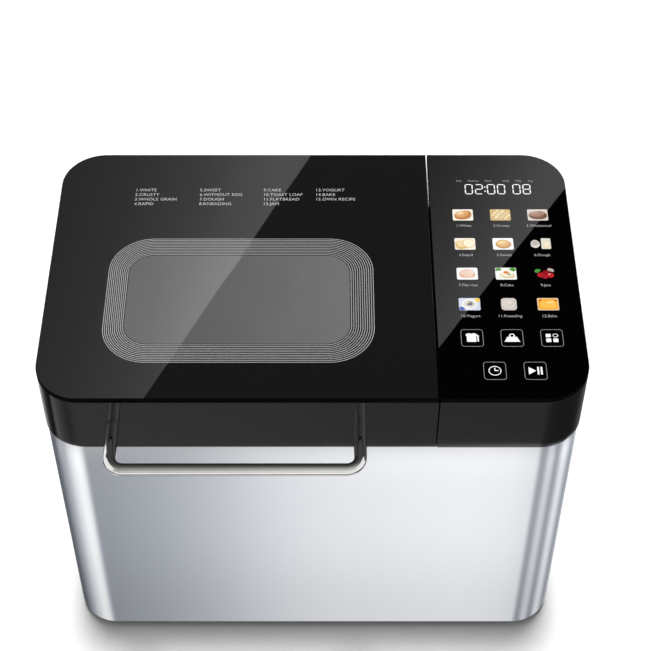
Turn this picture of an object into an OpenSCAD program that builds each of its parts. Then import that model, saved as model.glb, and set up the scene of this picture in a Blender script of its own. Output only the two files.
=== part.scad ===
// Bread machine with a wide loaf pan: steel body, deep hinged lid with a window,
// touch control head, baking chamber, removable pan and a belt-driven kneading paddle.
// Millimetres, +Z up, front towards -Y, origin at the bottom centre of the whole object.

/* [Body] */
// Width of the housing
body_w = 370; // [366:1:376]
// Depth of the housing, without the handle and the hinges
body_d = 233; // [231:1:237]
// Height from the table to the top of the glass
body_h = 288; // [286:1:292]
// Radius of the upright corners
corner_r = 31; // [29:1:32]
// Height of the black band made by the lid and the control head
band_h = 53; // [53:0.5:54]
// Height of the rubber feet
foot_h = 6; // [5:0.5:6]
// Thickness of the steel sheet
sheet_t = 0.6; // [0.5:0.1:0.8]

/* [Lid and window] */
// Place of the seam between the lid and the control head
seam_x = 84; // [83:0.5:85]
// Width of that seam
seam_gap = 1; // [0.8:0.1:1.2]
// Thickness of the top glass
glass_t = 4; // [3.5:0.5:4]
// Thickness of the moulded plastic walls
wall = 2.5; // [2:0.5:2.5]
// Width of the clear window
window_w = 154; // [140:1:156]
// Depth of the clear window
window_d = 82; // [70:1:84]
// Width of the stepped bezel round the window
bezel_w = 16; // [14:1:16]
// Number of steps in the bezel
bezel_steps = 9; // [6:1:10]
// How far the window's centre lies in front of the lid's centre
window_forward = 27.7; // [24:0.1:28]

/* [Front handle] */
// Diameter of the handle's rod
handle_rod = 8.6; // [8:0.2:9]
// Distance between the two arms
handle_span = 165; // [150:1:170]
// Distance from the lid's front to the middle of the bar
handle_reach = 38; // [34:1:40]

/* [Chamber and pan] */
// Inside width of the baking chamber
chamber_w = 216; // [215:1:218]
// Inside depth of the baking chamber
chamber_d = 166; // [165:1:168]
// Outside width of the pan at its top
pan_top_w = 184; // [180:1:185]
// Outside depth of the pan at its top
pan_top_d = 134; // [130:1:134]
// How much wider and deeper the pan is at its top than at its bottom
pan_flare = 16; // [10:1:20]
// Height of the pan
pan_h = 120; // [112:1:120]
// Thickness of the pan's wall
pan_t = 1.2; // [1:0.1:1.5]
// Length of the bail handle's arms
bail_arm = 77; // [76.5:0.1:77.5]

/* [Drive] */
// Belt radius on the large pulley
pulley_r = 44; // [42:1:44]
// Speed ratio between the motor and the paddle
drive_ratio = 5; // [4.5:0.5:5]
// Distance from the paddle's axis to the motor's axis
drive_span = 172; // [170:1:173]
// Radius of the drive and pan shafts
shaft_r = 4; // [4:0.5:4]
// Radial running clearance on the shafts
running = 0.05; // [0.03:0.01:0.08]

/* [Hidden] */
$fn = 64;

// Levels, from the table up
floor_z = foot_h;
floor_t = 2.5;
band_z = body_h - band_h;
deck_t = 2.5;
deck_z = band_z + deck_t;
glass_z = body_h - glass_t;
lid_z = band_z + 0.8;

// Outlines
steel_inset = 0.9;
steel_in = steel_inset + sheet_t;
deck_inset = 4;
deck_rear_inset = 10;
rear_y = body_d / 2;
cover_half = body_w / 2 - corner_r - 7;
cover_back = steel_inset + wall;

// Sizes as width and depth
window_size = [window_w, window_d];
chamber_size = [chamber_w, chamber_d];
pan_top = [pan_top_w, pan_top_d];
pan_bottom = [pan_top_w - pan_flare, pan_top_d - pan_flare];

// The lid's and the chamber's centres
lid_x = (seam_x - seam_gap / 2 - body_w / 2) / 2;
chamber_y = -5;
chamber_r = 25;
collar_gap = 0.3;
collar_z = deck_z + 5.5;
chamber_floor = 75;

// Hinges
hinge_r = 5;
hinge_z = band_z + 8;
hinge_dx = 80;
hinge_pin_r = 2;
leaf_half = 10.7;
ear_in = 11;
ear_out = 15;
ear_depth = 18;

// Lid interior
liner_size = [chamber_size[0] + 16, chamber_size[1] + 20];
liner_z = band_z + 5;
ceiling_z = band_z + 27;
pane_t = 3;
gasket_t = 1.5;
window_y = -window_forward;
liner_boss = [102, 77];

// Pan
pan_z = chamber_floor + 21;
pan_rim = pan_z + pan_h;
rim_over = 6;
pan_r = 22;
ear_x = pan_top[0] / 2 + 1;
bail_x = pan_top[0] / 2 + 9.5;
bail_r = 2.5;
bail_z = pan_rim - 8;

// Drive
wing_z = chamber_floor + 9;
plate_z = 44;
plate_t = 2;
belt_z = 24;
belt_w = 10;
belt_t = 2;
belt_gap = 0.15;
motor_pulley_r = pulley_r / drive_ratio;
motor_x = lid_x + drive_span;
post_x = [lid_x - 49, motor_x + 40];
post_y = [-52, 42];
bush_r = 8;

// Shift that centres the whole object, handle and hinges included, on the origin
frame_y = (handle_reach + handle_rod / 2 - hinge_r) / 2;

// ---- Shared shapes ----

// Rounded rectangle with true arcs
module rrect(size, r) {
    square([size[0] - 2 * r, size[1]], center = true);
    square([size[0], size[1] - 2 * r], center = true);
    for (x = [-1, 1], y = [-1, 1])
        translate([x * (size[0] / 2 - r), y * (size[1] / 2 - r)]) circle(r);
}

// Upright slab with rounded corners, from z up
module slab(size, r, z, h) translate([0, 0, z]) linear_extrude(h) rrect(size, r);

// Upright frame: one rounded slab less a smaller one, the same distance in all round
module frame(size, r, t, z, h) translate([0, 0, z]) linear_extrude(h) difference() {
    rrect(size, r);
    rrect([size[0] - 2 * t, size[1] - 2 * t], r - t);
}

// The housing's outline, moved in by inset
module outline(inset) rrect([body_w - 2 * inset, body_d - 2 * inset], corner_r - inset);

// The part of the outline that belongs to the lid, moved in by inset on every side
module lid_outline(inset) intersection() {
    outline(inset);
    right = seam_x - seam_gap / 2 - inset;
    translate([right - body_w, -body_d]) square([body_w, 2 * body_d]);
}

// The part of the outline that belongs to the control head
module head_outline(inset) intersection() {
    outline(inset);
    left = seam_x + seam_gap / 2 + inset;
    translate([left, -body_d]) square([body_w, 2 * body_d]);
}

// Upright ring
module ring(r_out, r_in, z, h) translate([0, 0, z]) difference() {
    cylinder(r = r_out, h = h);
    translate([0, 0, -1]) cylinder(r = r_in, h = h + 2);
}

// Rod along +X from the origin
module rod_x(r, len) rotate([0, 90, 0]) cylinder(r = r, h = len);

// Rod along +Y from the origin
module rod_y(r, len) rotate([-90, 0, 0]) cylinder(r = r, h = len);

// Quarter bend of a rod in the XY plane, about the origin, starting at the angle from
module bend(r, bend_r, from) rotate([0, 0, from]) rotate_extrude(angle = 90)
    translate([bend_r, 0]) circle(r);

// Rod in the XY plane: two arms along +Y joined by a bar along X at y = reach
module bail(r, half_w, reach, bend_r) {
    for (s = [-1, 1]) translate([s * half_w, 0, 0]) rod_y(r, reach - bend_r);
    translate([-half_w + bend_r, reach, 0]) rod_x(r, 2 * (half_w - bend_r));
    translate([half_w - bend_r, reach - bend_r, 0]) bend(r, bend_r, 0);
    translate([-half_w + bend_r, reach - bend_r, 0]) bend(r, bend_r, 90);
}

module at_chamber() translate([lid_x, chamber_y, 0]) children();
module at_motor() translate([motor_x, chamber_y, 0]) children();
module at_hinges() for (s = [-1, 1])
    translate([lid_x + s * hinge_dx, rear_y, hinge_z]) children();
module at_posts() for (x = post_x, y = post_y) translate([x, y, 0]) children();

// ---- Base and outer housing ----

foot_x = body_w / 2 - 32;
foot_y = body_d / 2 - 30;
foot_places = [[-foot_x, -foot_y], [foot_x, -foot_y], [-foot_x, foot_y], [foot_x, foot_y]];
foot_stem = [4, 3.5];

module base_tray() color("#2b2b2d") difference() {
    union() {
        translate([0, 0, floor_z]) linear_extrude(floor_t) outline(steel_in);
        translate([0, 0, floor_z]) linear_extrude(16) difference() {
            outline(steel_in);
            outline(steel_in + 2);
        }
        at_posts() translate([0, 0, floor_z]) cylinder(r = 6, h = plate_z - floor_z);
    }
    translate([-cover_half, rear_y - cover_back, 0]) cube([2 * cover_half, 10, 50]);
    for (p = foot_places) translate([p[0], p[1], 0]) cylinder(r = foot_stem[0], h = 20);
    at_posts() translate([0, 0, plate_z - 14]) cylinder(r = 1.5, h = 15);
    for (i = [-4:4]) translate([motor_x + i * 7 - 1.5, chamber_y - 30, 0]) cube([3, 60, 20]);
    for (i = [-4:4]) translate([lid_x + i * 9 - 1.5, chamber_y - 28, 0]) cube([3, 56, 20]);
}

module foot(i) color("#1a1a1a") translate([foot_places[i][0], foot_places[i][1], 0]) {
    cylinder(r = 10, h = foot_h);
    translate([0, 0, foot_h]) cylinder(r = foot_stem[0], h = foot_stem[1]);
}

// Front and both sides, folded in along the top and joggled inwards beside the rear cover
module steel_wrap() color("#b9bcc2") difference() {
    union() {
        difference() {
            union() {
                translate([0, 0, floor_z]) linear_extrude(band_z - floor_z) difference() {
                    outline(steel_inset);
                    outline(steel_in);
                }
                translate([0, 0, band_z - sheet_t]) linear_extrude(sheet_t) difference() {
                    outline(steel_inset);
                    outline(steel_inset + 8);
                }
            }
            translate([-cover_half, rear_y - 20, 0]) cube([2 * cover_half, 40, band_z - 2]);
        }
        joggle_y = rear_y - cover_back - sheet_t;
        joggle_h = band_z - floor_z - 18;
        for (s = [0, 1]) mirror([s, 0, 0]) translate([cover_half, joggle_y, floor_z + 16]) {
            cube([sheet_t, cover_back + sheet_t - steel_inset, joggle_h]);
            translate([-18, 0, 0]) cube([18 + sheet_t, sheet_t, joggle_h]);
        }
    }
    rear_screw_places() rod_y(1.6, 30);
}

louvre_rows = 11;
louvre_pitch = 9;
gland_x = 112;
gland_z = 44;

module rear_cover() color("#242426") difference() {
    translate([-cover_half + 0.3, rear_y - cover_back, floor_z + 0.3])
        cube([2 * cover_half - 0.6, wall, band_z - floor_z - 2.6]);
    for (s = [-1, 1], i = [0:louvre_rows - 1])
        translate([s * 68 - 30, rear_y - 10, 112 + i * louvre_pitch]) cube([60, 20, 3]);
    translate([gland_x, rear_y - 20, gland_z]) rod_y(8, 30);
    rear_screw_places() rod_y(1.6, 30);
}

// Places of the rear cover's screws, on the inside of the cover
module rear_screw_places() for (x = [-cover_half + 9, cover_half - 9], z = [30, 126, 222])
    translate([x, rear_y - 12, z]) children();

module rear_cover_screws() color("#8c8f94") rear_screw_places() difference() {
    head_y = 12 - steel_inset;
    union() {
        translate([0, head_y - 7, 0]) rod_y(1.6, 7);
        translate([0, head_y, 0]) rod_y(3.4, 1.6);
    }
    translate([-2.4, head_y + 0.7, -0.4]) cube([4.8, 2, 0.8]);
    translate([-0.4, head_y + 0.7, -2.4]) cube([0.8, 2, 4.8]);
}

gland_bore = 3.7;

module cord_gland() color("#1c1c1c") translate([gland_x, rear_y, gland_z]) difference() {
    union() {
        translate([0, -10, 0]) rod_y(8, 10 - steel_inset);
        translate([0, -steel_inset, 0]) rod_y(11, 2);
        translate([0, 2 - steel_inset, 0]) rotate([-90, 0, 0]) cylinder(r1 = 8, r2 = 6.4, h = 3.5);
        translate([0, -9, 0]) rotate([-90, 0, 0]) cylinder(r = 11.5, h = 9 - steel_inset - wall, $fn = 6);
    }
    translate([0, -11, 0]) rod_y(gland_bore, 20);
}

// ---- Deck and control head ----

collar = [chamber_size[0] + 2 * (sheet_t + collar_gap), chamber_size[1] + 2 * (sheet_t + collar_gap)];

module deck_frame() color("#202022") difference() {
    union() {
        translate([0, 0, band_z]) linear_extrude(deck_t) difference() {
            outline(deck_inset);
            translate([-body_w, rear_y - deck_rear_inset]) square([body_w + seam_x, body_d]);
        }
        at_chamber() slab([collar[0] + 5, collar[1] + 5], chamber_r + 3.6, band_z - 8, collar_z - band_z + 8);
    }
    at_chamber() slab(collar, chamber_r + 1.1, 0, body_h);
    translate([(seam_x + body_w / 2) / 2, 0, 0]) slab([74, 180], 4, 200, 50);
}

rail_z = glass_z - 18;

module control_housing() color("#2a2a2c") difference() {
    union() {
        translate([0, 0, band_z]) linear_extrude(glass_z - band_z) difference() {
            head_outline(0);
            head_outline(wall);
        }
        for (y = [-84, 78]) intersection() {
            translate([seam_x, y, rail_z]) cube([body_w, 6, 4]);
            translate([0, 0, band_z]) linear_extrude(band_h) head_outline(wall / 2);
        }
    }
    deck_relief(seam_x, 0);
}

// Room under a wall beside the seam for the deck, with the given gap above it
module deck_relief(x, gap) translate([x, deck_inset - rear_y - 0.5, 0])
    cube([wall + 1, body_d - 2 * deck_inset + 1, deck_z + gap]);

module control_glass() color("#070708") translate([0, 0, glass_z]) linear_extrude(glass_t)
    head_outline(0);

board_x = (seam_x + body_w / 2) / 2 + 1;
board_z = rail_z + 4;
board_t = 1.6;
icon_pitch = [27, 28.8];
icon_first = [108, 53.3];
key_row = [-63.6, -92.3];

module display_board() color("#1d4a2c") slab([86, 200], 14, board_z, board_t);

module display_module() color("#e8e8e4") {
    translate([108, 73, board_z + board_t]) cube([54, 16, 7.4]);
    for (c = [0:2], r = [0:3])
        translate([icon_first[0] + c * icon_pitch[0], icon_first[1] - r * icon_pitch[1], 0])
            slab([16, 13], 2, board_z + board_t, 7.4);
}

module touch_springs() color("#c9a24a") {
    for (c = [0:2]) translate([icon_first[0] + c * icon_pitch[0], key_row[0], 0]) touch_spring();
    for (c = [0.5, 1.5]) translate([icon_first[0] + c * icon_pitch[0], key_row[1], 0]) touch_spring();
}

module touch_spring() ring(5.5, 4.3, board_z + board_t, glass_z - board_z - board_t);

// ---- Electronics ----

shield_x = lid_x + chamber_size[0] / 2 + 11;
power_x = shield_x + 12;
power_z = 132;

module heat_shield() color("#a9abad") difference() {
    union() {
        translate([shield_x, -88, plate_z + plate_t]) cube([sheet_t, 176, 184]);
        translate([shield_x, -50, plate_z + plate_t]) cube([14, 90, sheet_t]);
    }
    for (s = [-1, 1]) translate([shield_x - 5, chamber_y + s * heater_leg, heater_z]) rod_x(6, 20);
}

module power_board() color("#1f5a33") {
    translate([power_x, -60, power_z]) cube([board_t, 120, 84]);
    for (y = [-52, 52], z = [8, 76])
        translate([shield_x + sheet_t, y, power_z + z]) rod_x(3, power_x - shield_x - sheet_t);
}

module power_components() color("#30343c") translate([power_x + board_t, 0, power_z]) {
    translate([0, -48, 40]) cube([28, 36, 32]);
    translate([0, -46, 8]) cube([16, 20, 16]);
    translate([0, -18, 8]) cube([16, 20, 16]);
    translate([0, 2, 60]) rod_x(9, 26);
    translate([0, 26, 60]) rod_x(6.5, 22);
    translate([0, 12, 10]) cube([12, 34, 10]);
    for (i = [0:4]) translate([0, 42 + i * 3, 34]) cube([22, 1.2, 40]);
}

// ---- Baking chamber ----

heater_z = 108;
heater_half = [98, 73];
heater_leg = 15;
heater_r = 3.25;
sensor_y = chamber_y + 42;
sensor_z = 150;

module chamber_liner() color("#8d8f92") difference() {
    union() {
        at_chamber() slab([chamber_size[0] + 2 * sheet_t, chamber_size[1] + 2 * sheet_t],
            chamber_r + sheet_t, chamber_floor, collar_z + sheet_t - chamber_floor);
        at_chamber() slab([collar[0] + 6, collar[1] + 6], chamber_r + 4.1, collar_z, sheet_t);
    }
    at_chamber() slab(chamber_size, chamber_r, chamber_floor + sheet_t, body_h);
    at_chamber() translate([0, 0, chamber_floor - 1]) cylinder(r = 17, h = 5);
    for (s = [-1, 1]) translate([lid_x + 90, chamber_y + s * heater_leg, heater_z])
        rod_x(heater_r + 1, 40);
    translate([lid_x + 90, sensor_y, sensor_z]) rod_x(5.2, 40);
}

// Sheathed element: a loop round the pan's foot, open on the right, where both legs leave the chamber
module heater_element() color("#4c4a48") translate([lid_x, chamber_y, heater_z]) {
    corner = 20;
    elbow = 8;
    half_x = heater_half[0];
    half_y = heater_half[1];
    for (s = [-1, 1]) {
        translate([-half_x + corner, s * half_y, 0]) rod_x(heater_r, 2 * (half_x - corner));
        translate([half_x, s > 0 ? heater_leg + elbow : -half_y + corner, 0])
            rod_y(heater_r, half_y - corner - heater_leg - elbow);
        translate([half_x + elbow, s * heater_leg, 0]) rod_x(heater_r, 12);
        translate([half_x + elbow + 12, s * heater_leg, 0]) rod_x(1.6, 8);
        translate([half_x + elbow, s * (heater_leg + elbow), 0]) bend(heater_r, elbow, s > 0 ? 180 : 90);
    }
    translate([-half_x, -half_y + corner, 0]) rod_y(heater_r, 2 * (half_y - corner));
    for (q = [[1, 1, 0], [-1, 1, 90], [-1, -1, 180], [1, -1, 270]])
        translate([q[0] * (half_x - corner), q[1] * (half_y - corner), 0]) bend(heater_r, corner, q[2]);
}

module heater_brackets() color("#a5a7a9") at_chamber() {
    foot_z = chamber_floor + sheet_t;
    for (p = [[-heater_half[0], 0, 3, 10], [0, heater_half[1], 10, 3], [0, -heater_half[1], 10, 3]])
        translate([p[0] - p[2] / 2, p[1] - p[3] / 2, foot_z])
            cube([p[2], p[3], heater_z - heater_r - foot_z]);
}

// Insulated leads from the element's two ends up to the power board
module heater_leads() color("#d8d2c4") for (s = [-1, 1]) {
    lead_x = lid_x + heater_half[0] + 8 + 12 + 8;
    translate([lead_x, chamber_y + s * heater_leg, heater_z]) {
        reach = power_x + board_t / 2 - lead_x;
        rod_x(1.4, reach);
        translate([reach, 0, 0]) sphere(1.4);
        translate([reach, 0, 0]) cylinder(r = 1.4, h = power_z - heater_z);
    }
}

module temperature_sensor() color("#c4c6c8") translate([lid_x + chamber_size[0] / 2, sensor_y, sensor_z]) {
    translate([-7, 0, 0]) rod_x(5, 14);
    translate([sheet_t, 0, 0]) rod_x(8, 2);
}

// ---- Pan seat, chassis and drive bearing ----

seat_z = chamber_floor + sheet_t;
seat_r = 42.4;

module pan_seat() color("#9a9c9f") at_chamber() translate([0, 0, seat_z]) difference() {
    cylinder(r = seat_r + 5.6, h = 10);
    translate([0, 0, 1.5]) cylinder(r = seat_r, h = 10);
    translate([0, 0, -1]) cylinder(r = 17, h = 5);
    for (a = [0, 90, 180, 270]) rotate([0, 0, a + 45]) translate([30, 0, -1]) cylinder(r = 2, h = 5);
}

module pan_clips() color("#c7c9cb") at_chamber() for (s = [-1, 1])
    translate([s * (seat_r + 6) - 0.4, -7, seat_z]) cube([0.8, 14, 16]);

module chassis_plate() color("#b3b5b7") translate([0, 0, plate_z]) difference() {
    translate([(post_x[0] + post_x[1]) / 2, (post_y[0] + post_y[1]) / 2, 0])
        linear_extrude(plate_t) rrect([post_x[1] - post_x[0] + 20, post_y[1] - post_y[0] + 20], 9);
    at_chamber() translate([0, 0, -1]) cylinder(r = bush_r + 1, h = 5);
    at_motor() translate([0, 0, -1]) cylinder(r = 14, h = 5);
    at_posts() translate([0, 0, -1]) cylinder(r = 2, h = 5);
    for (x = [lid_x + 45, motor_x - 60]) translate([x, chamber_y - 30, -1]) cube([16, 60, 5]);
}

module chassis_screws() color("#8c8f94") at_posts() translate([0, 0, plate_z + plate_t]) {
    cylinder(r = 3.6, h = 2.4);
    translate([0, 0, -12]) cylinder(r = 1.5, h = 12);
}

module bearing_housing() color("#a8aaad") at_chamber() translate([0, 0, plate_z + plate_t]) difference() {
    top = chamber_floor - plate_z - plate_t;
    union() {
        cylinder(r = 28, h = 3);
        cylinder(r = 13, h = top);
        translate([0, 0, top - 3]) cylinder(r = 34, h = 3);
        for (a = [0, 90]) rotate([0, 0, a]) translate([-26, -1.5, 0]) cube([52, 3, top]);
    }
    translate([0, 0, -1]) cylinder(r = bush_r, h = top + 2);
    for (a = [45, 135, 225, 315]) rotate([0, 0, a]) translate([21, 0, -1]) cylinder(r = 2, h = 5);
}

module shaft_bushes() color("#b08a4c") at_chamber()
    for (z = [plate_z + plate_t, chamber_floor - 8]) ring(bush_r, shaft_r + running, z, 8);

// ---- Belt drive ----

// Taut flat belt: an arc round each pulley and the two straight runs between them
module drive_belt() color("#141414") at_chamber() translate([0, 0, belt_z]) {
    r1 = pulley_r + belt_gap;
    r2 = motor_pulley_r + belt_gap;
    wrap = acos((r1 - r2) / drive_span);
    run = drive_span * sin(wrap);
    belt_arc(r1, wrap, 360 - 2 * wrap);
    translate([drive_span, 0, 0]) belt_arc(r2, -wrap, 2 * wrap);
    for (s = [0, 1]) mirror([0, s, 0]) rotate([0, 0, wrap])
        translate([r1, -run, 0]) cube([belt_t, run, belt_w]);
}

module belt_arc(r, from, angle) rotate([0, 0, from]) rotate_extrude(angle = angle)
    translate([r, 0]) square([belt_t, belt_w]);

// Flanged pulley for the flat belt, with a hub as tall as the flanges
module pulley(r, flange) {
    cheek = 2;
    translate([0, 0, belt_z - cheek - 0.5]) cylinder(r = r + flange, h = cheek);
    translate([0, 0, belt_z - 0.5]) cylinder(r = r, h = belt_w + 1);
    translate([0, 0, belt_z + belt_w + 0.5]) cylinder(r = r + flange, h = cheek);
}

module drive_pulley() color("#e4e2dc") at_chamber() difference() {
    pulley(pulley_r, 3.5);
    translate([0, 0, 0]) cylinder(r = shaft_r, h = 60);
    for (a = [0:60:300]) rotate([0, 0, a]) translate([25, 0, 0]) cylinder(r = 9, h = 60);
}

module drive_shaft() color("#c9ccd0") at_chamber() translate([0, 0, 18])
    cylinder(r = shaft_r, h = wing_z - 2 - 18);

// Dogs that drive the pan's wings, with a small gap to each wing
module drive_coupling() color("#9fa2a6") at_chamber() difference() {
    union() {
        translate([0, 0, wing_z - 6]) cylinder(r = 15, h = 3);
        for (a = [0, 180]) rotate([0, 0, a]) translate([7, 3.8, wing_z - 3]) cube([5, 5, 6]);
    }
    translate([0, 0, wing_z - 7]) cylinder(r = shaft_r, h = 10);
}

motor_z = plate_z + plate_t;
bell_h = 16;
stack_h = 32;
stator_bore = 24;

module motor_stator() color("#6d6f73") at_motor() difference() {
    slab([78, 78], 9, motor_z + bell_h, stack_h);
    cylinder(r = stator_bore, h = 200);
    for (x = [-33, 33], y = [-33, 33]) translate([x, y, 0]) cylinder(r = 2, h = 200);
}

// Lower and upper end bells, each a cup with a bearing boss
module motor_end_bells() color("#b7b9bc") at_motor() {
    bell(motor_z, 0);
    bell(motor_z + bell_h + stack_h, 1);
}

module bell(z, up) translate([0, 0, z]) difference() {
    cylinder(r = 37, h = bell_h);
    translate([0, 0, up ? -1 : 3]) cylinder(r = 34, h = bell_h - 2);
    translate([0, 0, -1]) cylinder(r = shaft_r + running, h = bell_h + 2);
    for (a = [0:60:300]) rotate([0, 0, a]) translate([20, 0, -1]) cylinder(r = 4, h = bell_h + 2);
}

module motor_rotor() color("#8a8c8f") at_motor() {
    translate([0, 0, 18]) cylinder(r = shaft_r, h = 106);
    translate([0, 0, motor_z + bell_h + 0.5]) cylinder(r = stator_bore - 0.5, h = stack_h - 1);
}

module motor_pulley() color("#d9d7d0") at_motor() difference() {
    pulley(motor_pulley_r, 3.5);
    cylinder(r = shaft_r, h = 60);
}

fan_z = motor_z + 2 * bell_h + stack_h + 2;

module motor_fan() color("#3c4046") at_motor() difference() {
    union() {
        translate([0, 0, fan_z]) cylinder(r = 9, h = 10);
        translate([0, 0, fan_z]) cylinder(r = 30, h = 1.5);
        for (a = [0:45:315]) rotate([0, 0, a]) translate([8, -0.8, fan_z]) cube([22, 1.6, 9]);
    }
    cylinder(r = shaft_r, h = 200);
}

// ---- Hinges ----

module hinge_brackets() color("#3a3b3e") at_hinges() {
    base_z = deck_z - hinge_z;
    translate([-ear_out, -ear_depth, base_z]) cube([2 * ear_out, ear_depth - deck_rear_inset, 1.5]);
    for (x = [-ear_out, ear_in]) translate([x, 0, 0]) difference() {
        union() {
            rod_x(hinge_r, ear_out - ear_in);
            translate([0, -ear_depth, base_z]) cube([ear_out - ear_in, ear_depth, hinge_r - base_z]);
        }
        translate([-1, 0, 0]) rod_x(hinge_pin_r, 10);
    }
}

module hinge_pins() color("#c9ccd0") at_hinges() translate([-ear_out, 0, 0]) rod_x(hinge_pin_r, 2 * ear_out);

module hinge_leaves() color("#3a3b3e") at_hinges() difference() {
    union() {
        translate([-leaf_half, 0, 0]) rod_x(hinge_r, 2 * leaf_half);
        translate([-leaf_half, -hinge_r, 0]) cube([2 * leaf_half, hinge_r - wall, 20]);
    }
    translate([-leaf_half - 1, 0, 0]) rod_x(hinge_pin_r + running, 2 * leaf_half + 2);
}

// ---- Lid ----

bezel_out = [window_size[0] + 2 * bezel_w, window_size[1] + 2 * bezel_w];
bezel_r = 30;
shell_hole = [bezel_out[0] + 4.6, bezel_out[1] + 4.6];
handle_z = body_h - 26.3;
handle_hole_r = 2;

module lid_shell() color("#2a2a2c") difference() {
    union() {
        difference() {
            translate([0, 0, lid_z]) linear_extrude(glass_z - lid_z) lid_outline(0);
            translate([0, 0, lid_z - 1]) linear_extrude(glass_z - wall - lid_z + 1) lid_outline(wall);
        }
        at_liner_bosses() translate([0, 0, ceiling_z + sheet_t])
            cylinder(r = 4.5, h = glass_z - 1 - ceiling_z - sheet_t);
    }
    deck_relief(seam_x - seam_gap / 2 - wall - 0.5, 0.6);
    translate([lid_x, window_y, 0]) slab(shell_hole, bezel_r + 2.3, glass_z - 10, 20);
    at_hinges() translate([-ear_out - 1, -wall - 1, -20]) cube([2 * ear_out + 2, 10, 20 + hinge_r + 1]);
    at_liner_bosses() translate([0, 0, ceiling_z]) cylinder(r = 1.5, h = 13);
    at_handle_arms() translate([0, -5, 0]) rod_y(handle_hole_r, 12);
    for (i = [-8:8]) translate([lid_x + i * 5 - 1, rear_y - 6, glass_z - 20]) cube([2, 12, 12]);
}

module at_liner_bosses() for (x = [-1, 1], y = [-1, 1])
    translate([lid_x + x * liner_boss[0], chamber_y + y * liner_boss[1], 0]) children();

module lid_glass() color("#0a0a0b") translate([0, 0, glass_z]) linear_extrude(glass_t) lid_outline(0);

// Stepped funnel between the glass and the inner pane
module window_bezel() color("#86888a") translate([lid_x, window_y, 0]) {
    low = ceiling_z + sheet_t + pane_t + gasket_t;
    rise = (glass_z - low - 1.5) / bezel_steps;
    step = bezel_w / bezel_steps;
    difference() {
        slab([bezel_out[0] + 4, bezel_out[1] + 4], bezel_r + 2, low, glass_z - low);
        for (i = [0:bezel_steps - 1]) {
            inset = 2 * step * (bezel_steps - 1 - i);
            slab([bezel_out[0] - inset, bezel_out[1] - inset], bezel_r - inset / 2, low + 1.5 + i * rise, 40);
        }
        slab(window_size, bezel_r - bezel_w, low - 1, 40);
    }
}

pane_size = [window_size[0] + 6, window_size[1] + 6];

module window_gasket() color("#3b3b3b") translate([lid_x, window_y, 0])
    frame(pane_size, 17, 4, ceiling_z + sheet_t + pane_t, gasket_t);

module window_pane() color("#9da1a4") translate([lid_x, window_y, 0])
    slab(pane_size, 17, ceiling_z + sheet_t, pane_t);

module lid_liner() color("#a2a4a6") difference() {
    union() {
        at_chamber() slab(liner_size, chamber_r + 8, liner_z, ceiling_z + sheet_t - liner_z);
        at_chamber() slab([liner_size[0] + 16, liner_size[1] + 16], chamber_r + 16, liner_z, sheet_t);
    }
    at_chamber() slab([liner_size[0] - 2 * sheet_t, liner_size[1] - 2 * sheet_t],
        chamber_r + 8 - sheet_t, liner_z - 1, ceiling_z - liner_z + 1);
    translate([lid_x, window_y, 0]) slab([window_size[0] - 6, window_size[1] - 6], 13, ceiling_z - 5, 10);
    at_liner_bosses() translate([0, 0, ceiling_z - 5]) cylinder(r = 1.6, h = 10);
}

module lid_liner_screws() color("#8c8f94") at_liner_bosses() translate([0, 0, ceiling_z]) {
    translate([0, 0, -2]) cylinder(r = 3.4, h = 2);
    cylinder(r = 1.5, h = 12);
}

// Places where the handle's two arms meet the lid's front
module at_handle_arms() for (s = [-1, 1])
    translate([lid_x + s * handle_span / 2, -rear_y, handle_z]) children();

module front_handle() color("#d5d7da") difference() {
    translate([lid_x, -rear_y, handle_z]) mirror([0, 1, 0])
        bail(handle_rod / 2, handle_span / 2, handle_reach, 8);
    at_handle_arms() translate([0, -14, 0]) rod_y(handle_hole_r, 20);
}

module handle_screws() color("#8c8f94") at_handle_arms() {
    translate([0, -13, 0]) rod_y(handle_hole_r, 13 + wall);
    translate([0, wall, 0]) rod_y(5.5, 1);
    translate([0, wall + 1, 0]) rod_y(3.8, 3);
}

// ---- Pan ----

// Tapered block between the pan's bottom and its top, moved in by inset, from z = 0
module pan_block(inset, h) hull() {
    linear_extrude(0.01)
        rrect([pan_bottom[0] - 2 * inset, pan_bottom[1] - 2 * inset], pan_r - 2 - inset, $fn = 32);
    translate([0, 0, h - 0.01]) linear_extrude(0.01)
        rrect([pan_top[0] - 2 * inset, pan_top[1] - 2 * inset], pan_r - inset, $fn = 32);
}

module bread_pan() color("#3c3d40") at_chamber() translate([0, 0, pan_z]) difference() {
    union() {
        pan_block(0, pan_h);
        slab([pan_top[0] + 2 * rim_over, pan_top[1] + 2 * rim_over], pan_r + rim_over, pan_h - 1.5, 1.5);
    }
    translate([0, 0, pan_t]) pan_block(pan_t, pan_h);
    translate([0, 0, -1]) cylinder(r = 9, h = 10);
}

module pan_foot_ring() color("#8e9093") at_chamber() {
    ring(seat_r - 0.4, seat_r - 4, seat_z + 2, pan_z - seat_z - 2);
    ring(seat_r + 3, seat_r - 4, pan_z - 1.5, 1.5);
}

module pan_bush() color("#b08a4c") at_chamber() difference() {
    union() {
        translate([0, 0, wing_z + 6]) cylinder(r = 9, h = 14);
        translate([0, 0, pan_z - 2.5]) cylinder(r = 16, h = 2.5);
    }
    translate([0, 0, wing_z]) cylinder(r = shaft_r + running, h = 30);
}

seal_z = wing_z + 20;

module shaft_seal() color("#6b2f28") at_chamber() ring(7, shaft_r + running, seal_z, 2);

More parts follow.
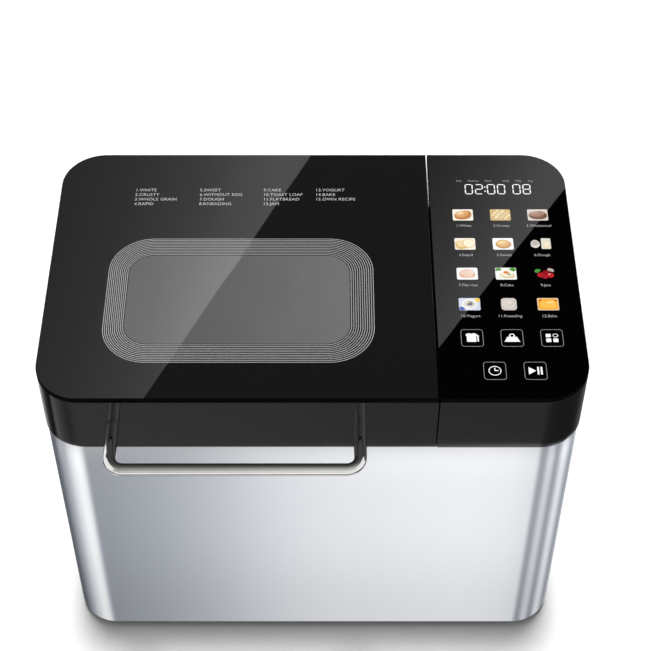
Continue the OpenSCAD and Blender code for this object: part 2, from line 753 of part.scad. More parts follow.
module bail_ears() color("#9a9c9f") at_chamber() for (s = [-1, 1])
    translate([s * (ear_x + 1) - 1, 0, 0]) difference() {
        union() {
            translate([0, -12, bail_z - 4]) cube([2, 24, pan_rim - 1.5 - bail_z + 4]);
            translate([0, 0, bail_z]) rod_x(8, 2);
        }
        translate([-1, 0, bail_z]) rod_x(bail_r + 0.08, 4);
        translate([-1, -13, pan_rim - 1.5]) cube([4, 26, 10]);
    }

module bail_handle() color("#b9bbbe") translate([lid_x, chamber_y, bail_z]) {
    bail_bend = 14;
    difference() {
        bail(bail_r, bail_x, bail_arm, bail_bend);
        for (s = [-1, 1]) translate([s * bail_x - 5, -1, -5]) cube([10, 1 + bail_bend, 10]);
    }
    for (s = [-1, 1]) {
        translate([s * (bail_x - bail_r - 0.5), 0, 0]) mirror([s > 0 ? 1 : 0, 0, 0]) rod_x(bail_r, 5.8);
        translate([s * bail_x, 0, 0]) mirror([s > 0 ? 0 : 1, 0, 0]) bail_knee(bail_bend);
    }
}

// Knee between a pivot pin and its arm
module bail_knee(r) {
    translate([-bail_r - 0.5, 0, 0]) rod_x(bail_r, bail_r + 0.5);
    sphere(bail_r);
    rod_y(bail_r, r);
}

module pan_shaft() color("#c9ccd0") at_chamber() difference() {
    translate([0, 0, wing_z]) cylinder(r = shaft_r, h = 38);
    translate([3, -10, seal_z + 3]) cube([20, 20, 40]);
}

module wing_coupling() color("#9fa2a6") at_chamber() translate([0, 0, wing_z]) difference() {
    union() {
        cylinder(r = 7, h = 4);
        translate([-13, -3.5, 0]) cube([26, 7, 4]);
    }
    translate([0, 0, -1]) cylinder(r = shaft_r, h = 10);
}

// Hub with a D-shaped bore, one long blade and one short one
module kneading_paddle() color("#35363a") at_chamber() {
    hub_z = seal_z + 3;
    difference() {
        union() {
            translate([0, 0, hub_z]) cylinder(r = 9, h = 22);
            rotate([90, 0, 0]) translate([0, 0, -2.5]) linear_extrude(5) polygon([
                [-20, hub_z + 1], [-22, hub_z + 5], [-9, hub_z + 20], [12, hub_z + 21], [30, hub_z + 17],
                [44, hub_z + 6], [46, hub_z - 4], [45, hub_z - 8], [11, hub_z - 8], [11, hub_z + 1]
            ]);
        }
        intersection() {
            translate([0, 0, hub_z - 1]) cylinder(r = shaft_r + 0.3, h = 17.5);
            translate([-20, -20, hub_z - 2]) cube([23.3, 40, 40]);
        }
    }
}

// ---- The assembly ----

module placed() translate([0, frame_y, 0]) children();

placed() base_tray();
placed() foot(0);  // foot_front_left
placed() foot(1);  // foot_front_right
placed() foot(2);  // foot_rear_left
placed() foot(3);  // foot_rear_right
placed() steel_wrap();
placed() rear_cover();
placed() rear_cover_screws();
placed() cord_gland();
placed() deck_frame();
placed() control_housing();
placed() control_glass();
placed() translate([board_x, 0, 0]) display_board();
placed() display_module();
placed() touch_springs();
placed() power_board();
placed() power_components();
placed() heat_shield();
placed() chamber_liner();
placed() heater_element();
placed() heater_brackets();
placed() heater_leads();
placed() temperature_sensor();
placed() pan_seat();
placed() pan_clips();
placed() chassis_plate();
placed() chassis_screws();
placed() bearing_housing();
placed() shaft_bushes();
placed() drive_belt();
placed() motor_stator();
placed() motor_end_bells();
placed() hinge_brackets();
placed() hinge_pins();
placed() lid_shell();
placed() lid_glass();
placed() window_bezel();
placed() window_gasket();
placed() window_pane();
placed() lid_liner();
placed() lid_liner_screws();
placed() hinge_leaves();
placed() front_handle();
placed() handle_screws();
placed() bread_pan();
placed() pan_foot_ring();
placed() pan_bush();
placed() shaft_seal();
placed() bail_ears();
placed() bail_handle();
placed() pan_shaft();
placed() wing_coupling();
placed() kneading_paddle();
placed() drive_shaft();
placed() drive_coupling();
placed() drive_pulley();
placed() motor_rotor();
placed() motor_pulley();
placed() motor_fan();
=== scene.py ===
"""Blender looks for the bread machine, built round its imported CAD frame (metres, front towards -Y)."""
import math
import random

import bmesh
import bpy
from mathutils import Matrix, Vector


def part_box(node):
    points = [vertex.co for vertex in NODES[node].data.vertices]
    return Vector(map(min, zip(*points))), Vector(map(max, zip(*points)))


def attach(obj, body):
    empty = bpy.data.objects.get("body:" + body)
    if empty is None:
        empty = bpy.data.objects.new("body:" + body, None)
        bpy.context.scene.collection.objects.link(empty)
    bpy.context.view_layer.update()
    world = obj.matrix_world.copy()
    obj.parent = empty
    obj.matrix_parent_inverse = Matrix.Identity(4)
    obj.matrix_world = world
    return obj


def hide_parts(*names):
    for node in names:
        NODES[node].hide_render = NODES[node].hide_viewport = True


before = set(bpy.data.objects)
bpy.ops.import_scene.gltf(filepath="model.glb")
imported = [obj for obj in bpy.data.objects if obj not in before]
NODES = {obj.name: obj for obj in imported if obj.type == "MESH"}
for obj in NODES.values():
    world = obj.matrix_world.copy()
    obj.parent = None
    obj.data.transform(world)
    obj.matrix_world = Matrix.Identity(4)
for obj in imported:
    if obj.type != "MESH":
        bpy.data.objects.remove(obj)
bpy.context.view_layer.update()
MM = 0.001

# ---- Places, all from the frame ----

LID_LO, LID_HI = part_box("lid_glass")
HEAD_LO, HEAD_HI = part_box("control_glass")
STEEL_LO, STEEL_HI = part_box("steel_wrap")
PAN_LO, PAN_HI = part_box("bread_pan")
HANDLE_LO, HANDLE_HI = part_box("front_handle")
PADDLE_LO, PADDLE_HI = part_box("kneading_paddle")
MID = Vector(((LID_LO.x + HEAD_HI.x) / 2, (LID_LO.y + LID_HI.y) / 2, 0))
FRONT_Y = LID_LO.y
TOP_Z = LID_HI.z
GLASS_Z = LID_LO.z
CORNER = 31 * MM
TINY = 0.3 * MM
FEET = ("foot_front_left", "foot_front_right", "foot_rear_left", "foot_rear_right")
PRINT_ROOM = 0.2 * MM
FACE_Z = TOP_Z - PRINT_ROOM
LAYER = 0.02 * MM


def spot(x, y):
    """A place on the top, given in millimetres from the middle of the housing."""
    return MID.x + x * MM, MID.y + y * MM


# ---- Node graphs ----

class Graph:
    """Writes one material's nodes in few words."""

    def __init__(self, name):
        self.mat = bpy.data.materials.new(name)
        self.mat.use_nodes = True
        self.tree = self.mat.node_tree
        self.bsdf = self.tree.nodes["Principled BSDF"]
        self.place = self.node("ShaderNodeTexCoord").outputs["Object"]

    def node(self, kind, links=None, values=None, **props):
        n = self.tree.nodes.new(kind)
        for key, value in props.items():
            setattr(n, key, value)
        for key, value in (values or {}).items():
            n.inputs[key].default_value = value
        for key, source in (links or {}).items():
            self.tree.links.new(source, n.inputs[key])
        return n

    def feed(self, socket, source):
        """Links a socket to another node's, or sets its value."""
        if isinstance(source, bpy.types.NodeSocket):
            self.tree.links.new(source, socket)
        else:
            socket.default_value = source

    def scaled(self, x, y, z):
        return self.node("ShaderNodeMapping", {"Vector": self.place}, {"Scale": (x, y, z)}).outputs[0]

    def noise(self, size, stretch=(1, 1, 1), detail=4.0, rough=0.55, twist=0.0):
        """Noise whose lumps are about size metres wide, stretched along X, Y and Z."""
        source = self.scaled(*(1 / (size * s) for s in stretch))
        return self.node("ShaderNodeTexNoise", {"Vector": source},
                         {"Scale": 1.0, "Detail": detail, "Roughness": rough, "Distortion": twist}).outputs[0]

    def cells(self, size, feature="F1", output="Distance"):
        source = self.scaled(1 / size, 1 / size, 1 / size)
        n = self.node("ShaderNodeTexVoronoi", {"Vector": source}, {"Scale": 1.0}, feature=feature)
        return n.outputs[output]

    def maths(self, operation, a, b):
        n = self.node("ShaderNodeMath", operation=operation)
        self.feed(n.inputs[0], a)
        self.feed(n.inputs[1], b)
        return n.outputs[0]

    def weighed(self, a, b, share):
        """Sum of two values, the first by share and the second by the rest."""
        return self.maths("ADD", self.maths("MULTIPLY", a, share), self.maths("MULTIPLY", b, 1 - share))

    def mix(self, share, a, b, kind="MIX"):
        """Two colours mixed by share."""
        n = self.node("ShaderNodeMix", data_type="RGBA", blend_type=kind)
        for index, source in ((0, share), (6, a), (7, b)):
            self.feed(n.inputs[index], source)
        return n.outputs[2]

    def spread(self, source, low, high):
        """Maps a 0 to 1 value to low to high."""
        return self.node("ShaderNodeMapRange", {"Value": source}, {"To Min": low, "To Max": high}).outputs[0]

    def ramp(self, source, stops):
        n = self.node("ShaderNodeValToRGB", {"Fac": source})
        while len(n.color_ramp.elements) < len(stops):
            n.color_ramp.elements.new(0.5)
        for element, (position, colour) in zip(n.color_ramp.elements, stops):
            element.position = position
            element.color = (*colour, 1.0)
        return n.outputs[0]

    def tint(self, source, colour, amount):
        """The colour, darker and lighter by the given share as source goes from 0 to 1."""
        dark = tuple(max(c * (1 - amount), 0) for c in colour)
        light = tuple(min(c * (1 + amount), 1) for c in colour)
        return self.ramp(source, [(0.25, dark), (0.75, light)])

    def bump(self, height, depth):
        n = self.node("ShaderNodeBump", {"Height": height}, {"Strength": 1.0, "Distance": depth})
        return n.outputs[0]

    def done(self, **values):
        for key, value in values.items():
            self.feed(self.bsdf.inputs[key.replace("_", " ")], value)
        return self.mat


def moulded(name, colour, rough, grain, depth, metal=0.0, change=0.12, level=0.5):
    """Moulded, cast or plated surface: fine grain, broad colour drift and uneven gloss."""
    g = Graph(name)
    fine = g.noise(grain)
    broad = g.noise(40 * MM, detail=3.0)
    both = g.weighed(fine, broad, 0.5)
    shine = g.spread(g.noise(9 * MM, detail=5.0), rough * 0.82, rough * 1.18)
    return g.done(Base_Color=g.tint(both, colour, change), Metallic=metal, Roughness=shine,
                  Normal=g.bump(fine, depth), Specular_IOR_Level=level)


def brushed(name, colour, rough, stretch, change, depth, turn, anisotropy=0.6):
    """Metal with a brushed grain: long streaks with fine scratches across them."""
    g = Graph(name)
    streak = g.noise(0.5 * MM, stretch, detail=6.0, rough=0.7)
    hair = g.noise(0.16 * MM, tuple(s * 2 for s in stretch), detail=2.0)
    grain = g.weighed(streak, hair, 0.6)
    smudge = g.noise(55 * MM, detail=3.0)
    shine = g.maths("ADD", g.spread(grain, rough * 0.8, rough * 1.2), g.spread(smudge, -0.02, 0.02))
    tangent = g.node("ShaderNodeTangent", direction_type="RADIAL", axis="Z").outputs[0]
    return g.done(Base_Color=g.tint(grain, colour, change), Metallic=1.0, Roughness=shine, Tangent=tangent,
                  Anisotropic=anisotropy, Anisotropic_Rotation=turn, Normal=g.bump(grain, depth))


def gloss(name, colour, rough, level=0.5):
    """Polished glass or glossy moulding: faint smears in the gloss and a very slight waviness."""
    g = Graph(name)
    smear = g.noise(30 * MM, (1, 2.2, 1), detail=6.0, rough=0.6, twist=0.6)
    shine = g.ramp(smear, [(0.35, (rough,) * 3), (0.75, (rough * 2.2,) * 3)])
    wave = g.noise(60 * MM, detail=1.0)
    return g.done(Base_Color=g.tint(smear, colour, 0.15), Roughness=shine, Specular_IOR_Level=level,
                  Normal=g.bump(wave, 0.02 * MM))


def chrome_plate():
    g = Graph("chrome_plate")
    smear = g.noise(8 * MM, detail=6.0, twist=0.8)
    hair = g.noise(0.3 * MM, (14, 14, 14), detail=3.0)
    return g.done(Base_Color=g.tint(smear, (0.78, 0.775, 0.76), 0.03), Metallic=1.0,
                  Roughness=g.spread(smear, 0.03, 0.09), Normal=g.bump(hair, 0.002 * MM))


def spangled(name, colour, rough, size):
    """Galvanised sheet: crystals that differ in tone and gloss."""
    g = Graph(name)
    crystal = g.cells(size, output="Color")
    tone = g.node("ShaderNodeSeparateColor", {"Color": crystal}).outputs[0]
    fine = g.noise(0.8 * MM)
    return g.done(Base_Color=g.tint(g.weighed(tone, fine, 0.65), colour, 0.07), Metallic=1.0,
                  Roughness=g.spread(tone, rough * 0.92, rough * 1.08), Normal=g.bump(fine, 0.01 * MM))


def speckled(name, colour, fleck, rough, metal=0.35):
    """Non-stick coating: dark satin with small pale flecks and a fine orange peel."""
    g = Graph(name)
    flecks = g.ramp(g.cells(1.1 * MM), [(0.1, (1, 1, 1)), (0.22, (0, 0, 0))])
    peel = g.noise(0.9 * MM)
    base = g.mix(flecks, g.tint(peel, colour, 0.15), (*fleck, 1))
    return g.done(Base_Color=base, Metallic=metal, Roughness=g.spread(peel, rough * 0.85, rough * 1.15),
                  Normal=g.bump(peel, 0.012 * MM))


def banded(name, colour, rough, pitch, axis, metal=0.0, depth=0.05 * MM, change=0.25):
    """Stacked laminations, braid or ribs: bands across one axis over a fine noise."""
    g = Graph(name)
    source = g.scaled(1 / pitch, 1 / pitch, 1 / pitch)
    wave = g.node("ShaderNodeTexWave", {"Vector": source}, {"Scale": 1.0, "Distortion": 0.4, "Detail": 2.0},
                  bands_direction=axis).outputs[1]
    fine = g.noise(0.7 * MM)
    return g.done(Base_Color=g.tint(g.weighed(wave, fine, 0.6), colour, change), Metallic=metal,
                  Roughness=g.spread(fine, rough * 0.85, rough * 1.15), Normal=g.bump(wave, depth))


def circuit_board():
    g = Graph("circuit_board")
    lanes = g.cells(5 * MM, feature="DISTANCE_TO_EDGE")
    trace = g.ramp(lanes, [(0.04, (1, 1, 1)), (0.09, (0, 0, 0))])
    pads = g.ramp(g.cells(3.2 * MM), [(0.12, (1, 1, 1)), (0.17, (0, 0, 0))])
    mask = g.tint(g.noise(1.2 * MM), (0.012, 0.075, 0.028), 0.2)
    copper = g.mix(trace, mask, (0.03, 0.15, 0.06, 1))
    tin = g.mix(pads, copper, (0.6, 0.6, 0.58, 1))
    return g.done(Base_Color=tin, Roughness=g.spread(pads, 0.45, 0.25),
                  Normal=g.bump(g.maths("ADD", trace, pads), 0.04 * MM))


def smoked_glass(name, colour, clear, painted_light_ramp=None):
    """Grey translucent glass: part of the light goes through, the rest shows the satin print behind it.

    The last argument gives (x0, share, x1, share): how strong the colour is at two places along X. This ramp
    is painted light: it makes the glass lighter towards the right, standing in for the brighter light the
    window shows there.
    """
    g = Graph(name)
    smear = g.noise(35 * MM, (1, 1.8, 1), detail=5.0, twist=0.5)
    base = g.tint(smear, colour, 0.05)
    if painted_light_ramp:
        x0, share0, x1, share1 = painted_light_ramp
        along = g.node("ShaderNodeSeparateXYZ", {"Vector": g.place}).outputs[0]
        limits = {"From Min": x0, "From Max": x1, "To Min": share0, "To Max": share1}
        share = g.node("ShaderNodeMapRange", {"Value": along}, limits).outputs[0]
        base = g.node("ShaderNodeVectorMath", {"Vector": base, "Scale": share}, operation="SCALE").outputs[0]
    return g.done(Base_Color=base, Roughness=g.spread(smear, 0.006, 0.02), IOR=1.75,
                  Transmission_Weight=clear, Normal=g.bump(g.noise(60 * MM, detail=1.0), 0.02 * MM))


def ink(name, glow=0.0):
    """Screen-printed ink that takes its colour from the mesh, with the print's fine mottle."""
    g = Graph(name)
    colour = g.node("ShaderNodeVertexColor", layer_name="ink").outputs[0]
    mottle = g.noise(0.45 * MM, detail=3.0)
    worn = g.ramp(mottle, [(0.3, (0.74, 0.73, 0.72)), (0.65, (0.82, 0.82, 0.82))])
    mixed = g.mix(1.0, colour, worn, "MULTIPLY")
    return g.done(Base_Color=mixed, Emission_Color=mixed, Emission_Strength=glow,
                  Roughness=g.spread(mottle, 0.012, 0.03))


FINISHES = {
    "black_plastic": moulded("moulded_black", (0.016, 0.016, 0.017), 0.48, 0.5 * MM, 0.03 * MM),
    "band_plastic": gloss("band_gloss", (0.0035, 0.0035, 0.0038), 0.03),
    "rubber": moulded("foot_rubber", (0.012, 0.012, 0.012), 0.78, 0.3 * MM, 0.04 * MM, level=0.35),
    "brushed_steel": brushed("brushed_steel", (0.885, 0.887, 0.89), 0.15, (60, 60, 1),
                             0.03, 0.002 * MM, 0.25, 0.5),
    "zinc_screws": moulded("zinc_plate", (0.55, 0.56, 0.57), 0.32, 0.6 * MM, 0.01 * MM, metal=1.0),
    "black_glass": gloss("black_glass", (0.0007, 0.0007, 0.00075), 0.004),
    "green_board": circuit_board(),
    "display_plastic": moulded("display_white", (0.75, 0.75, 0.72), 0.4, 0.8 * MM, 0.01 * MM, change=0.05),
    "spring_brass": banded("spring_brass", (0.72, 0.5, 0.22), 0.3, 1.1 * MM, "Z", metal=1.0),
    "component_plastic": moulded("component_black", (0.03, 0.032, 0.036), 0.4,
                                 1.5 * MM, 0.02 * MM, change=0.3),
    "galvanised_steel": spangled("galvanised_steel", (0.52, 0.53, 0.54), 0.42, 5 * MM),
    "heater_sheath": moulded("heater_sheath", (0.09, 0.085, 0.08), 0.42,
                             0.6 * MM, 0.02 * MM, metal=0.8, change=0.3),
    "lead_sleeve": banded("lead_sleeve", (0.72, 0.7, 0.62), 0.75, 0.7 * MM, "DIAGONAL"),
    "stainless_small": moulded("stainless_small", (0.6, 0.6, 0.61), 0.2,
                               0.4 * MM, 0.004 * MM, metal=1.0, change=0.06),
    "cast_aluminium": moulded("cast_aluminium", (0.5, 0.5, 0.51), 0.5, 0.9 * MM, 0.06 * MM, metal=1.0),
    "bronze_bush": moulded("sintered_bronze", (0.5, 0.32, 0.14), 0.42,
                           0.3 * MM, 0.03 * MM, metal=1.0, change=0.2),
    "belt_rubber": banded("belt_rubber", (0.014, 0.014, 0.014), 0.7, 1.5 * MM, "X"),
    "motor_laminations": banded("motor_laminations", (0.3, 0.3, 0.31), 0.4, 0.5 * MM, "Z", metal=1.0),
    "hinge_steel": moulded("hinge_black", (0.03, 0.03, 0.032), 0.38, 0.5 * MM, 0.015 * MM, metal=0.6),
    "bezel_grey": moulded("bezel_grey", (0.2, 0.205, 0.21), 0.45, 0.6 * MM, 0.01 * MM),
    "silicone_seal": moulded("silicone_red", (0.16, 0.03, 0.022), 0.55, 0.5 * MM, 0.015 * MM, level=0.4),
    "window_glass": smoked_glass("pane_glass", (0.75, 0.78, 0.78), 0.92),
    "chrome": chrome_plate(),
    "nonstick": speckled("nonstick", (0.07, 0.071, 0.075), (0.24, 0.24, 0.25), 0.42),
    "white_plastic": moulded("nylon_white", (0.7, 0.69, 0.64), 0.42, 0.8 * MM, 0.015 * MM, change=0.05),
}
# The lens's colour is ramped lighter from left to right: painted light, not a tint of the glass.
LENS = smoked_glass("window_lens", (0.14, 0.14, 0.14), 0.2, (spot(-110, 0)[0], 0.65, spot(30, 0)[0], 1.15))
EDGE = moulded("glass_edge", (0.0012, 0.0012, 0.0012), 0.6, 0.4 * MM, 0.01 * MM, level=0.02)
PRINT = ink("screen_print")
# Ink with a faint glow of its own colour. On the display's figures it stands for their real light; on the
# words, pictures, captions and key prints that use it too, the glow is painted light that makes them brighter
# than the studio light alone would.
GLOW_PRINT = ink("glow_print", glow=0.1)


# ---- Building pieces ----

def link(name, mesh):
    piece = bpy.data.objects.new(name, mesh)
    bpy.context.scene.collection.objects.link(piece)
    return piece


def from_bmesh(name, bm):
    mesh = bpy.data.meshes.new(name)
    bmesh.ops.recalc_face_normals(bm, faces=bm.faces)
    bm.to_mesh(mesh)
    bm.free()
    return link(name, mesh)


def smooth(piece, angle=35):
    """Smooth shading that stays crisp at edges and flat on flat faces."""
    piece.data.shade_smooth()
    piece.data.set_sharp_from_angle(angle=math.radians(angle))
    modifier = piece.modifiers.new("normals", "WEIGHTED_NORMAL")
    modifier.keep_sharp = True


def own(piece, body, slot, *replaced, material=None, shade=True):
    """Finishes a new piece: its shading, its material (the slot's finish unless one is given) and its body,
    and hides the CAD nodes it stands for.
    """
    if shade:
        smooth(piece)
    if not piece.data.materials:
        piece.data.materials.append(material or FINISHES[slot])
    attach(piece, body)
    if replaced:
        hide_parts(*replaced)
    return piece


def outline(lo, hi, radii, inset=0.0, steps=20):
    """Anticlockwise points of a rounded rectangle, moved in by inset; radii start at the front left."""
    x0, y0, x1, y1 = lo[0] + inset, lo[1] + inset, hi[0] - inset, hi[1] - inset
    corners = ((x0, y0, 1, 1, 180), (x1, y0, -1, 1, 270), (x1, y1, -1, -1, 0), (x0, y1, 1, -1, 90))
    points = []
    for (x, y, sx, sy, start), radius in zip(corners, radii):
        r = max(radius - inset, 0.02 * MM)
        for i in range(steps + 1):
            a = math.radians(start + 90 * i / steps)
            points.append((x + sx * r + r * math.cos(a), y + sy * r + r * math.sin(a)))
    return points


def edge_profile(z0, z1, low, high, steps=5):
    """(inset, z) pairs up the side of a slab whose lower and upper edges are rounded."""
    turns = [math.pi / 2 * i / steps for i in range(steps + 1)]
    under = [(low * (1 - math.sin(a)), z0 + low * (1 - math.cos(a))) for a in turns]
    over = [(high * (1 - math.cos(a)), z1 - high + high * math.sin(a)) for a in turns]
    return under + over


def loft(name, loops, ring=False, materials=None):
    """Skins a list of equal loops; a ring joins the last to the first, otherwise both ends are capped."""
    bm = bmesh.new()
    rows = [[bm.verts.new(p) for p in loop] for loop in loops]
    pairs = list(zip(rows, rows[1:])) + ([(rows[-1], rows[0])] if ring else [])
    for k, (a, b) in enumerate(pairs):
        for i in range(len(a)):
            j = (i + 1) % len(a)
            face = bm.faces.new((a[i], a[j], b[j], b[i]))
            face.material_index = materials[k] if materials else 0
    if not ring:
        bm.faces.new(list(reversed(rows[0])))
        bm.faces.new(rows[-1])
    return from_bmesh(name, bm)


def slab_loops(lo, hi, radii, profile, steps=20):
    return [[(x, y, z) for x, y in outline(lo, hi, radii, inset, steps)] for inset, z in profile]


def lathe(name, centre, profile, sides=56):
    """Turns (radius, z) pairs about an upright axis."""
    loops = []
    for r, z in profile:
        ring = [2 * math.pi * i / sides for i in range(sides)]
        loops.append([(centre[0] + r * math.cos(a), centre[1] + r * math.sin(a), z) for a in ring])
    return loft(name, loops)


def sweep(name, path, radius, sides=28):
    """A rod of one thickness along a path of points, with gently domed ends."""
    path = [Vector(p) for p in path]
    ends = ((path[1] - path[0]).normalized(), (path[-1] - path[-2]).normalized())
    normal = ends[0].orthogonal().normalized()
    loops = []
    for i, p in enumerate(path):
        ahead = (path[min(i + 1, len(path) - 1)] - path[max(i - 1, 0)]).normalized()
        normal = (normal - ahead * normal.dot(ahead)).normalized()
        side = ahead.cross(normal)
        turns = [2 * math.pi * k / sides for k in range(sides)]
        loops.append([p + radius * (math.cos(a) * normal + math.sin(a) * side) for a in turns])

    def shrunk(loop, centre, share, shift):
        return [centre + (q - centre) * share + shift for q in loop]
    dome = 0.12 * radius
    first = [shrunk(loops[0], path[0], s, ends[0] * (dome * (1 - s))) for s in (0.75, 0.93)]
    last = [shrunk(loops[-1], path[-1], s, ends[1] * (dome * (s - 1))) for s in (0.93, 0.75)]
    loops[0] = shrunk(loops[0], path[0], 1.0, ends[0] * dome)
    loops[-1] = shrunk(loops[-1], path[-1], 1.0, -ends[1] * dome)
    return loft(name, first + loops + last)


def u_path(left, right, start_y, end_y, bend, z, steps=14):
    """Path of a U-shaped rod lying flat: out along one arm, along the bar and back along the other arm."""
    toward = 1 if end_y > start_y else -1
    points = [(left, start_y, z)]
    for k in range(1, 6):
        points.append((left, start_y + (end_y - toward * bend - start_y) * k / 6, z))
    for k in range(steps + 1):
        a = math.pi / 2 * k / steps
        points.append((left + bend * (1 - math.cos(a)), end_y - toward * bend * (1 - math.sin(a)), z))
    points += [(left + bend + (right - left - 2 * bend) * k / 12, end_y, z) for k in range(1, 12)]
    return points + [(left + right - x, y, z) for x, y, z in reversed(points[:6 + steps + 1])]


def dress(name, bevel=0.35 * MM, segments=2, angle=40):
    """Gives a CAD node its slot's finish, with soft edges and smooth shading if there is a bevel."""
    piece = NODES[name]
    weld = piece.modifiers.new("weld", "WELD")
    weld.merge_threshold = 0.001 * MM
    if bevel:
        modifier = piece.modifiers.new("edges", "BEVEL")
        modifier.width = bevel
        modifier.segments = segments
        modifier.limit_method = "ANGLE"
        modifier.angle_limit = math.radians(angle)
        modifier.use_clamp_overlap = True
        smooth(piece)
    for i, material in enumerate(piece.data.materials):
        piece.data.materials[i] = FINISHES[material.name.split(".")[0]]


# ---- Flat printed shapes ----

def curve_mesh(data, depth):
    """Mesh of a filled flat curve or text, depth thick, standing on z = 0."""
    data.extrude = depth / 2
    data.fill_mode = "BOTH" if data.id_type == "CURVE" else data.fill_mode
    holder = link("draft", data)
    bpy.context.view_layer.update()
    mesh = bpy.data.meshes.new_from_object(holder.evaluated_get(bpy.context.evaluated_depsgraph_get()))
    bpy.data.objects.remove(holder)
    mesh.transform(Matrix.Translation((0, 0, depth / 2)))
    return mesh


def shape_mesh(loops, depth=LAYER, rounding=0.0):
    """Filled mesh of closed loops of points; a loop inside another cuts a hole."""
    data = bpy.data.curves.new("draft", "CURVE")
    data.dimensions = "2D"
    for points in loops:
        spline = data.splines.new("POLY")
        spline.points.add(len(points) - 1)
        for target, (x, y) in zip(spline.points, points):
            target.co = (x, y, 0, 1)
        spline.use_cyclic_u = True
    if rounding:
        data.bevel_depth = rounding
        data.bevel_resolution = 3
        data.offset = -rounding
    return curve_mesh(data, depth)


def text_mesh(body, cap, align="LEFT", pitch=None, depth=LAYER, spread=1.0):
    """Filled mesh of lines of text with capitals cap high, from the first baseline."""
    data = bpy.data.curves.new("draft", "FONT")
    data.body = body
    data.size = cap / 0.7
    data.align_x = align
    data.space_character = spread
    data.resolution_u = 3
    if pitch:
        data.space_line = pitch / data.size
    return curve_mesh(data, depth)


class Sheet:
    """Gathers printed shapes into one piece; each has its own place, level and ink."""

    def __init__(self):
        self.bm = bmesh.new()
        self.ink = self.bm.loops.layers.float_color.new("ink")

    def add(self, mesh, x, y, colour, level=0):
        before = len(self.bm.faces)
        mesh.transform(Matrix.Translation((x, y, FACE_Z + 0.25 * LAYER + level * LAYER)))
        self.bm.from_mesh(mesh)
        self.bm.faces.ensure_lookup_table()
        for face in self.bm.faces[before:]:
            for corner in face.loops:
                corner[self.ink] = (*colour, 1)
        bpy.data.meshes.remove(mesh)

    def piece(self, name, body, slot, material):
        bmesh.ops.remove_doubles(self.bm, verts=self.bm.verts, dist=0.0005 * MM)
        return own(from_bmesh(name, self.bm), body, slot, material=material, shade=False)


def placed(points, x, y, turn=0.0):
    """Points given in millimetres, turned by turn degrees, moved to (x, y) and made metres."""
    cos, sin = math.cos(math.radians(turn)), math.sin(math.radians(turn))
    return [((x + px * cos - py * sin) * MM, (y + px * sin + py * cos) * MM) for px, py in points]


def oval(x, y, rx, ry, turn=0.0, wobble=0.0, seed=0, count=26):
    """Points of an oval, given in millimetres, with an uneven edge if wobble isn't 0."""
    rng = random.Random(seed)
    phases = [rng.uniform(0, 6.28) for _ in range(3)]
    points = []
    for i in range(count):
        a = 2 * math.pi * i / count
        k = 1 + wobble * sum(math.sin((n + 2) * a + p) for n, p in enumerate(phases)) / 3
        points.append((rx * k * math.cos(a), ry * k * math.sin(a)))
    return placed(points, x, y, turn)


def tile(x, y, w, h, r=0.3, turn=0.0):
    """Points of a rounded rectangle, given in millimetres."""
    return placed(outline((-w / 2, -h / 2), (w / 2, h / 2), (r,) * 4, steps=5), x, y, turn)


def frame_loops(w, h, r, t):
    """Outer and inner loop of a rounded frame round the origin, t wide."""
    return [tile(0, 0, w, h, r), tile(0, 0, w - 2 * t, h - 2 * t, max(r - t, 0.05))]


def segments(figure, width, height, stroke):
    """Loops of one seven-segment figure, from its lower left corner."""
    lit = {"0": "abcdef", "2": "abged", "8": "abcdefg"}[figure]
    half = height / 2
    gap = stroke * 0.55
    across = width - stroke - 2 * gap
    down = half - stroke / 2 - 2 * gap
    bars = {
        "a": (width / 2, height - stroke / 2, across, stroke), "d": (width / 2, stroke / 2, across, stroke),
        "g": (width / 2, half, across, stroke),
        "f": (stroke / 2, half + half / 2 - stroke / 4, stroke, down),
        "b": (width - stroke / 2, half + half / 2 - stroke / 4, stroke, down),
        "e": (stroke / 2, half / 2 + stroke / 4, stroke, down),
        "c": (width - stroke / 2, half / 2 + stroke / 4, stroke, down),
    }
    return [tile(*bars[name], r=stroke * 0.3) for name in lit]


# ---- The top: glass plates, window and prints ----

WINDOW_LO = spot(-143.3, -85.3)
WINDOW_HI = spot(42.3, 29.5)
CLEAR_LO = spot(-130.0, -70.1)
CLEAR_HI = spot(26.9, 14.2)
WINDOW_R = 31 * MM
CLEAR_R = 18 * MM
RINGS = 11
# Inks
WHITE = (1.0, 1.0, 1.0)
SOFT_WHITE = (0.57, 0.57, 0.57)
CAPTION_GREY = (0.42, 0.42, 0.42)
DIM_GREY = (0.33, 0.33, 0.33)
KEY_GREY = (0.3, 0.3, 0.3)
LINE_GREY = (0.42, 0.42, 0.42)
BORDER_BLACK = (0.015, 0.015, 0.015)
GAP_BLACK = (0.02, 0.02, 0.02)


def lid_plate():
    """Lid's black glass, with a hole for the window."""
    radii = (CORNER, TINY, TINY, CORNER)
    outer = slab_loops(LID_LO, LID_HI, radii, edge_profile(GLASS_Z, FACE_Z, 0.2 * MM, 0.45 * MM))
    hole = [(0.0, FACE_Z), (0.0, GLASS_Z)]
    inner = slab_loops(WINDOW_LO, WINDOW_HI, (WINDOW_R,) * 4, hole)
    kinds = [1] * (len(outer) - 1) + [0, 1, 1]
    piece = loft("lid_top_glass", outer + inner, ring=True, materials=kinds)
    piece.data.materials.append(FINISHES["black_glass"])
    piece.data.materials.append(EDGE)
    own(piece, "lid", "black_glass", "lid_glass")


def head_plate():
    """Control head's black glass."""
    radii = (TINY, CORNER, CORNER, TINY)
    loops = slab_loops(HEAD_LO, HEAD_HI, radii, edge_profile(GLASS_Z, FACE_Z, 0.2 * MM, 0.45 * MM))
    piece = loft("head_top_glass", loops, materials=[1] * len(loops))
    piece.data.materials.append(FINISHES["black_glass"])
    piece.data.materials.append(EDGE)
    own(piece, "housing", "black_glass", "control_glass")


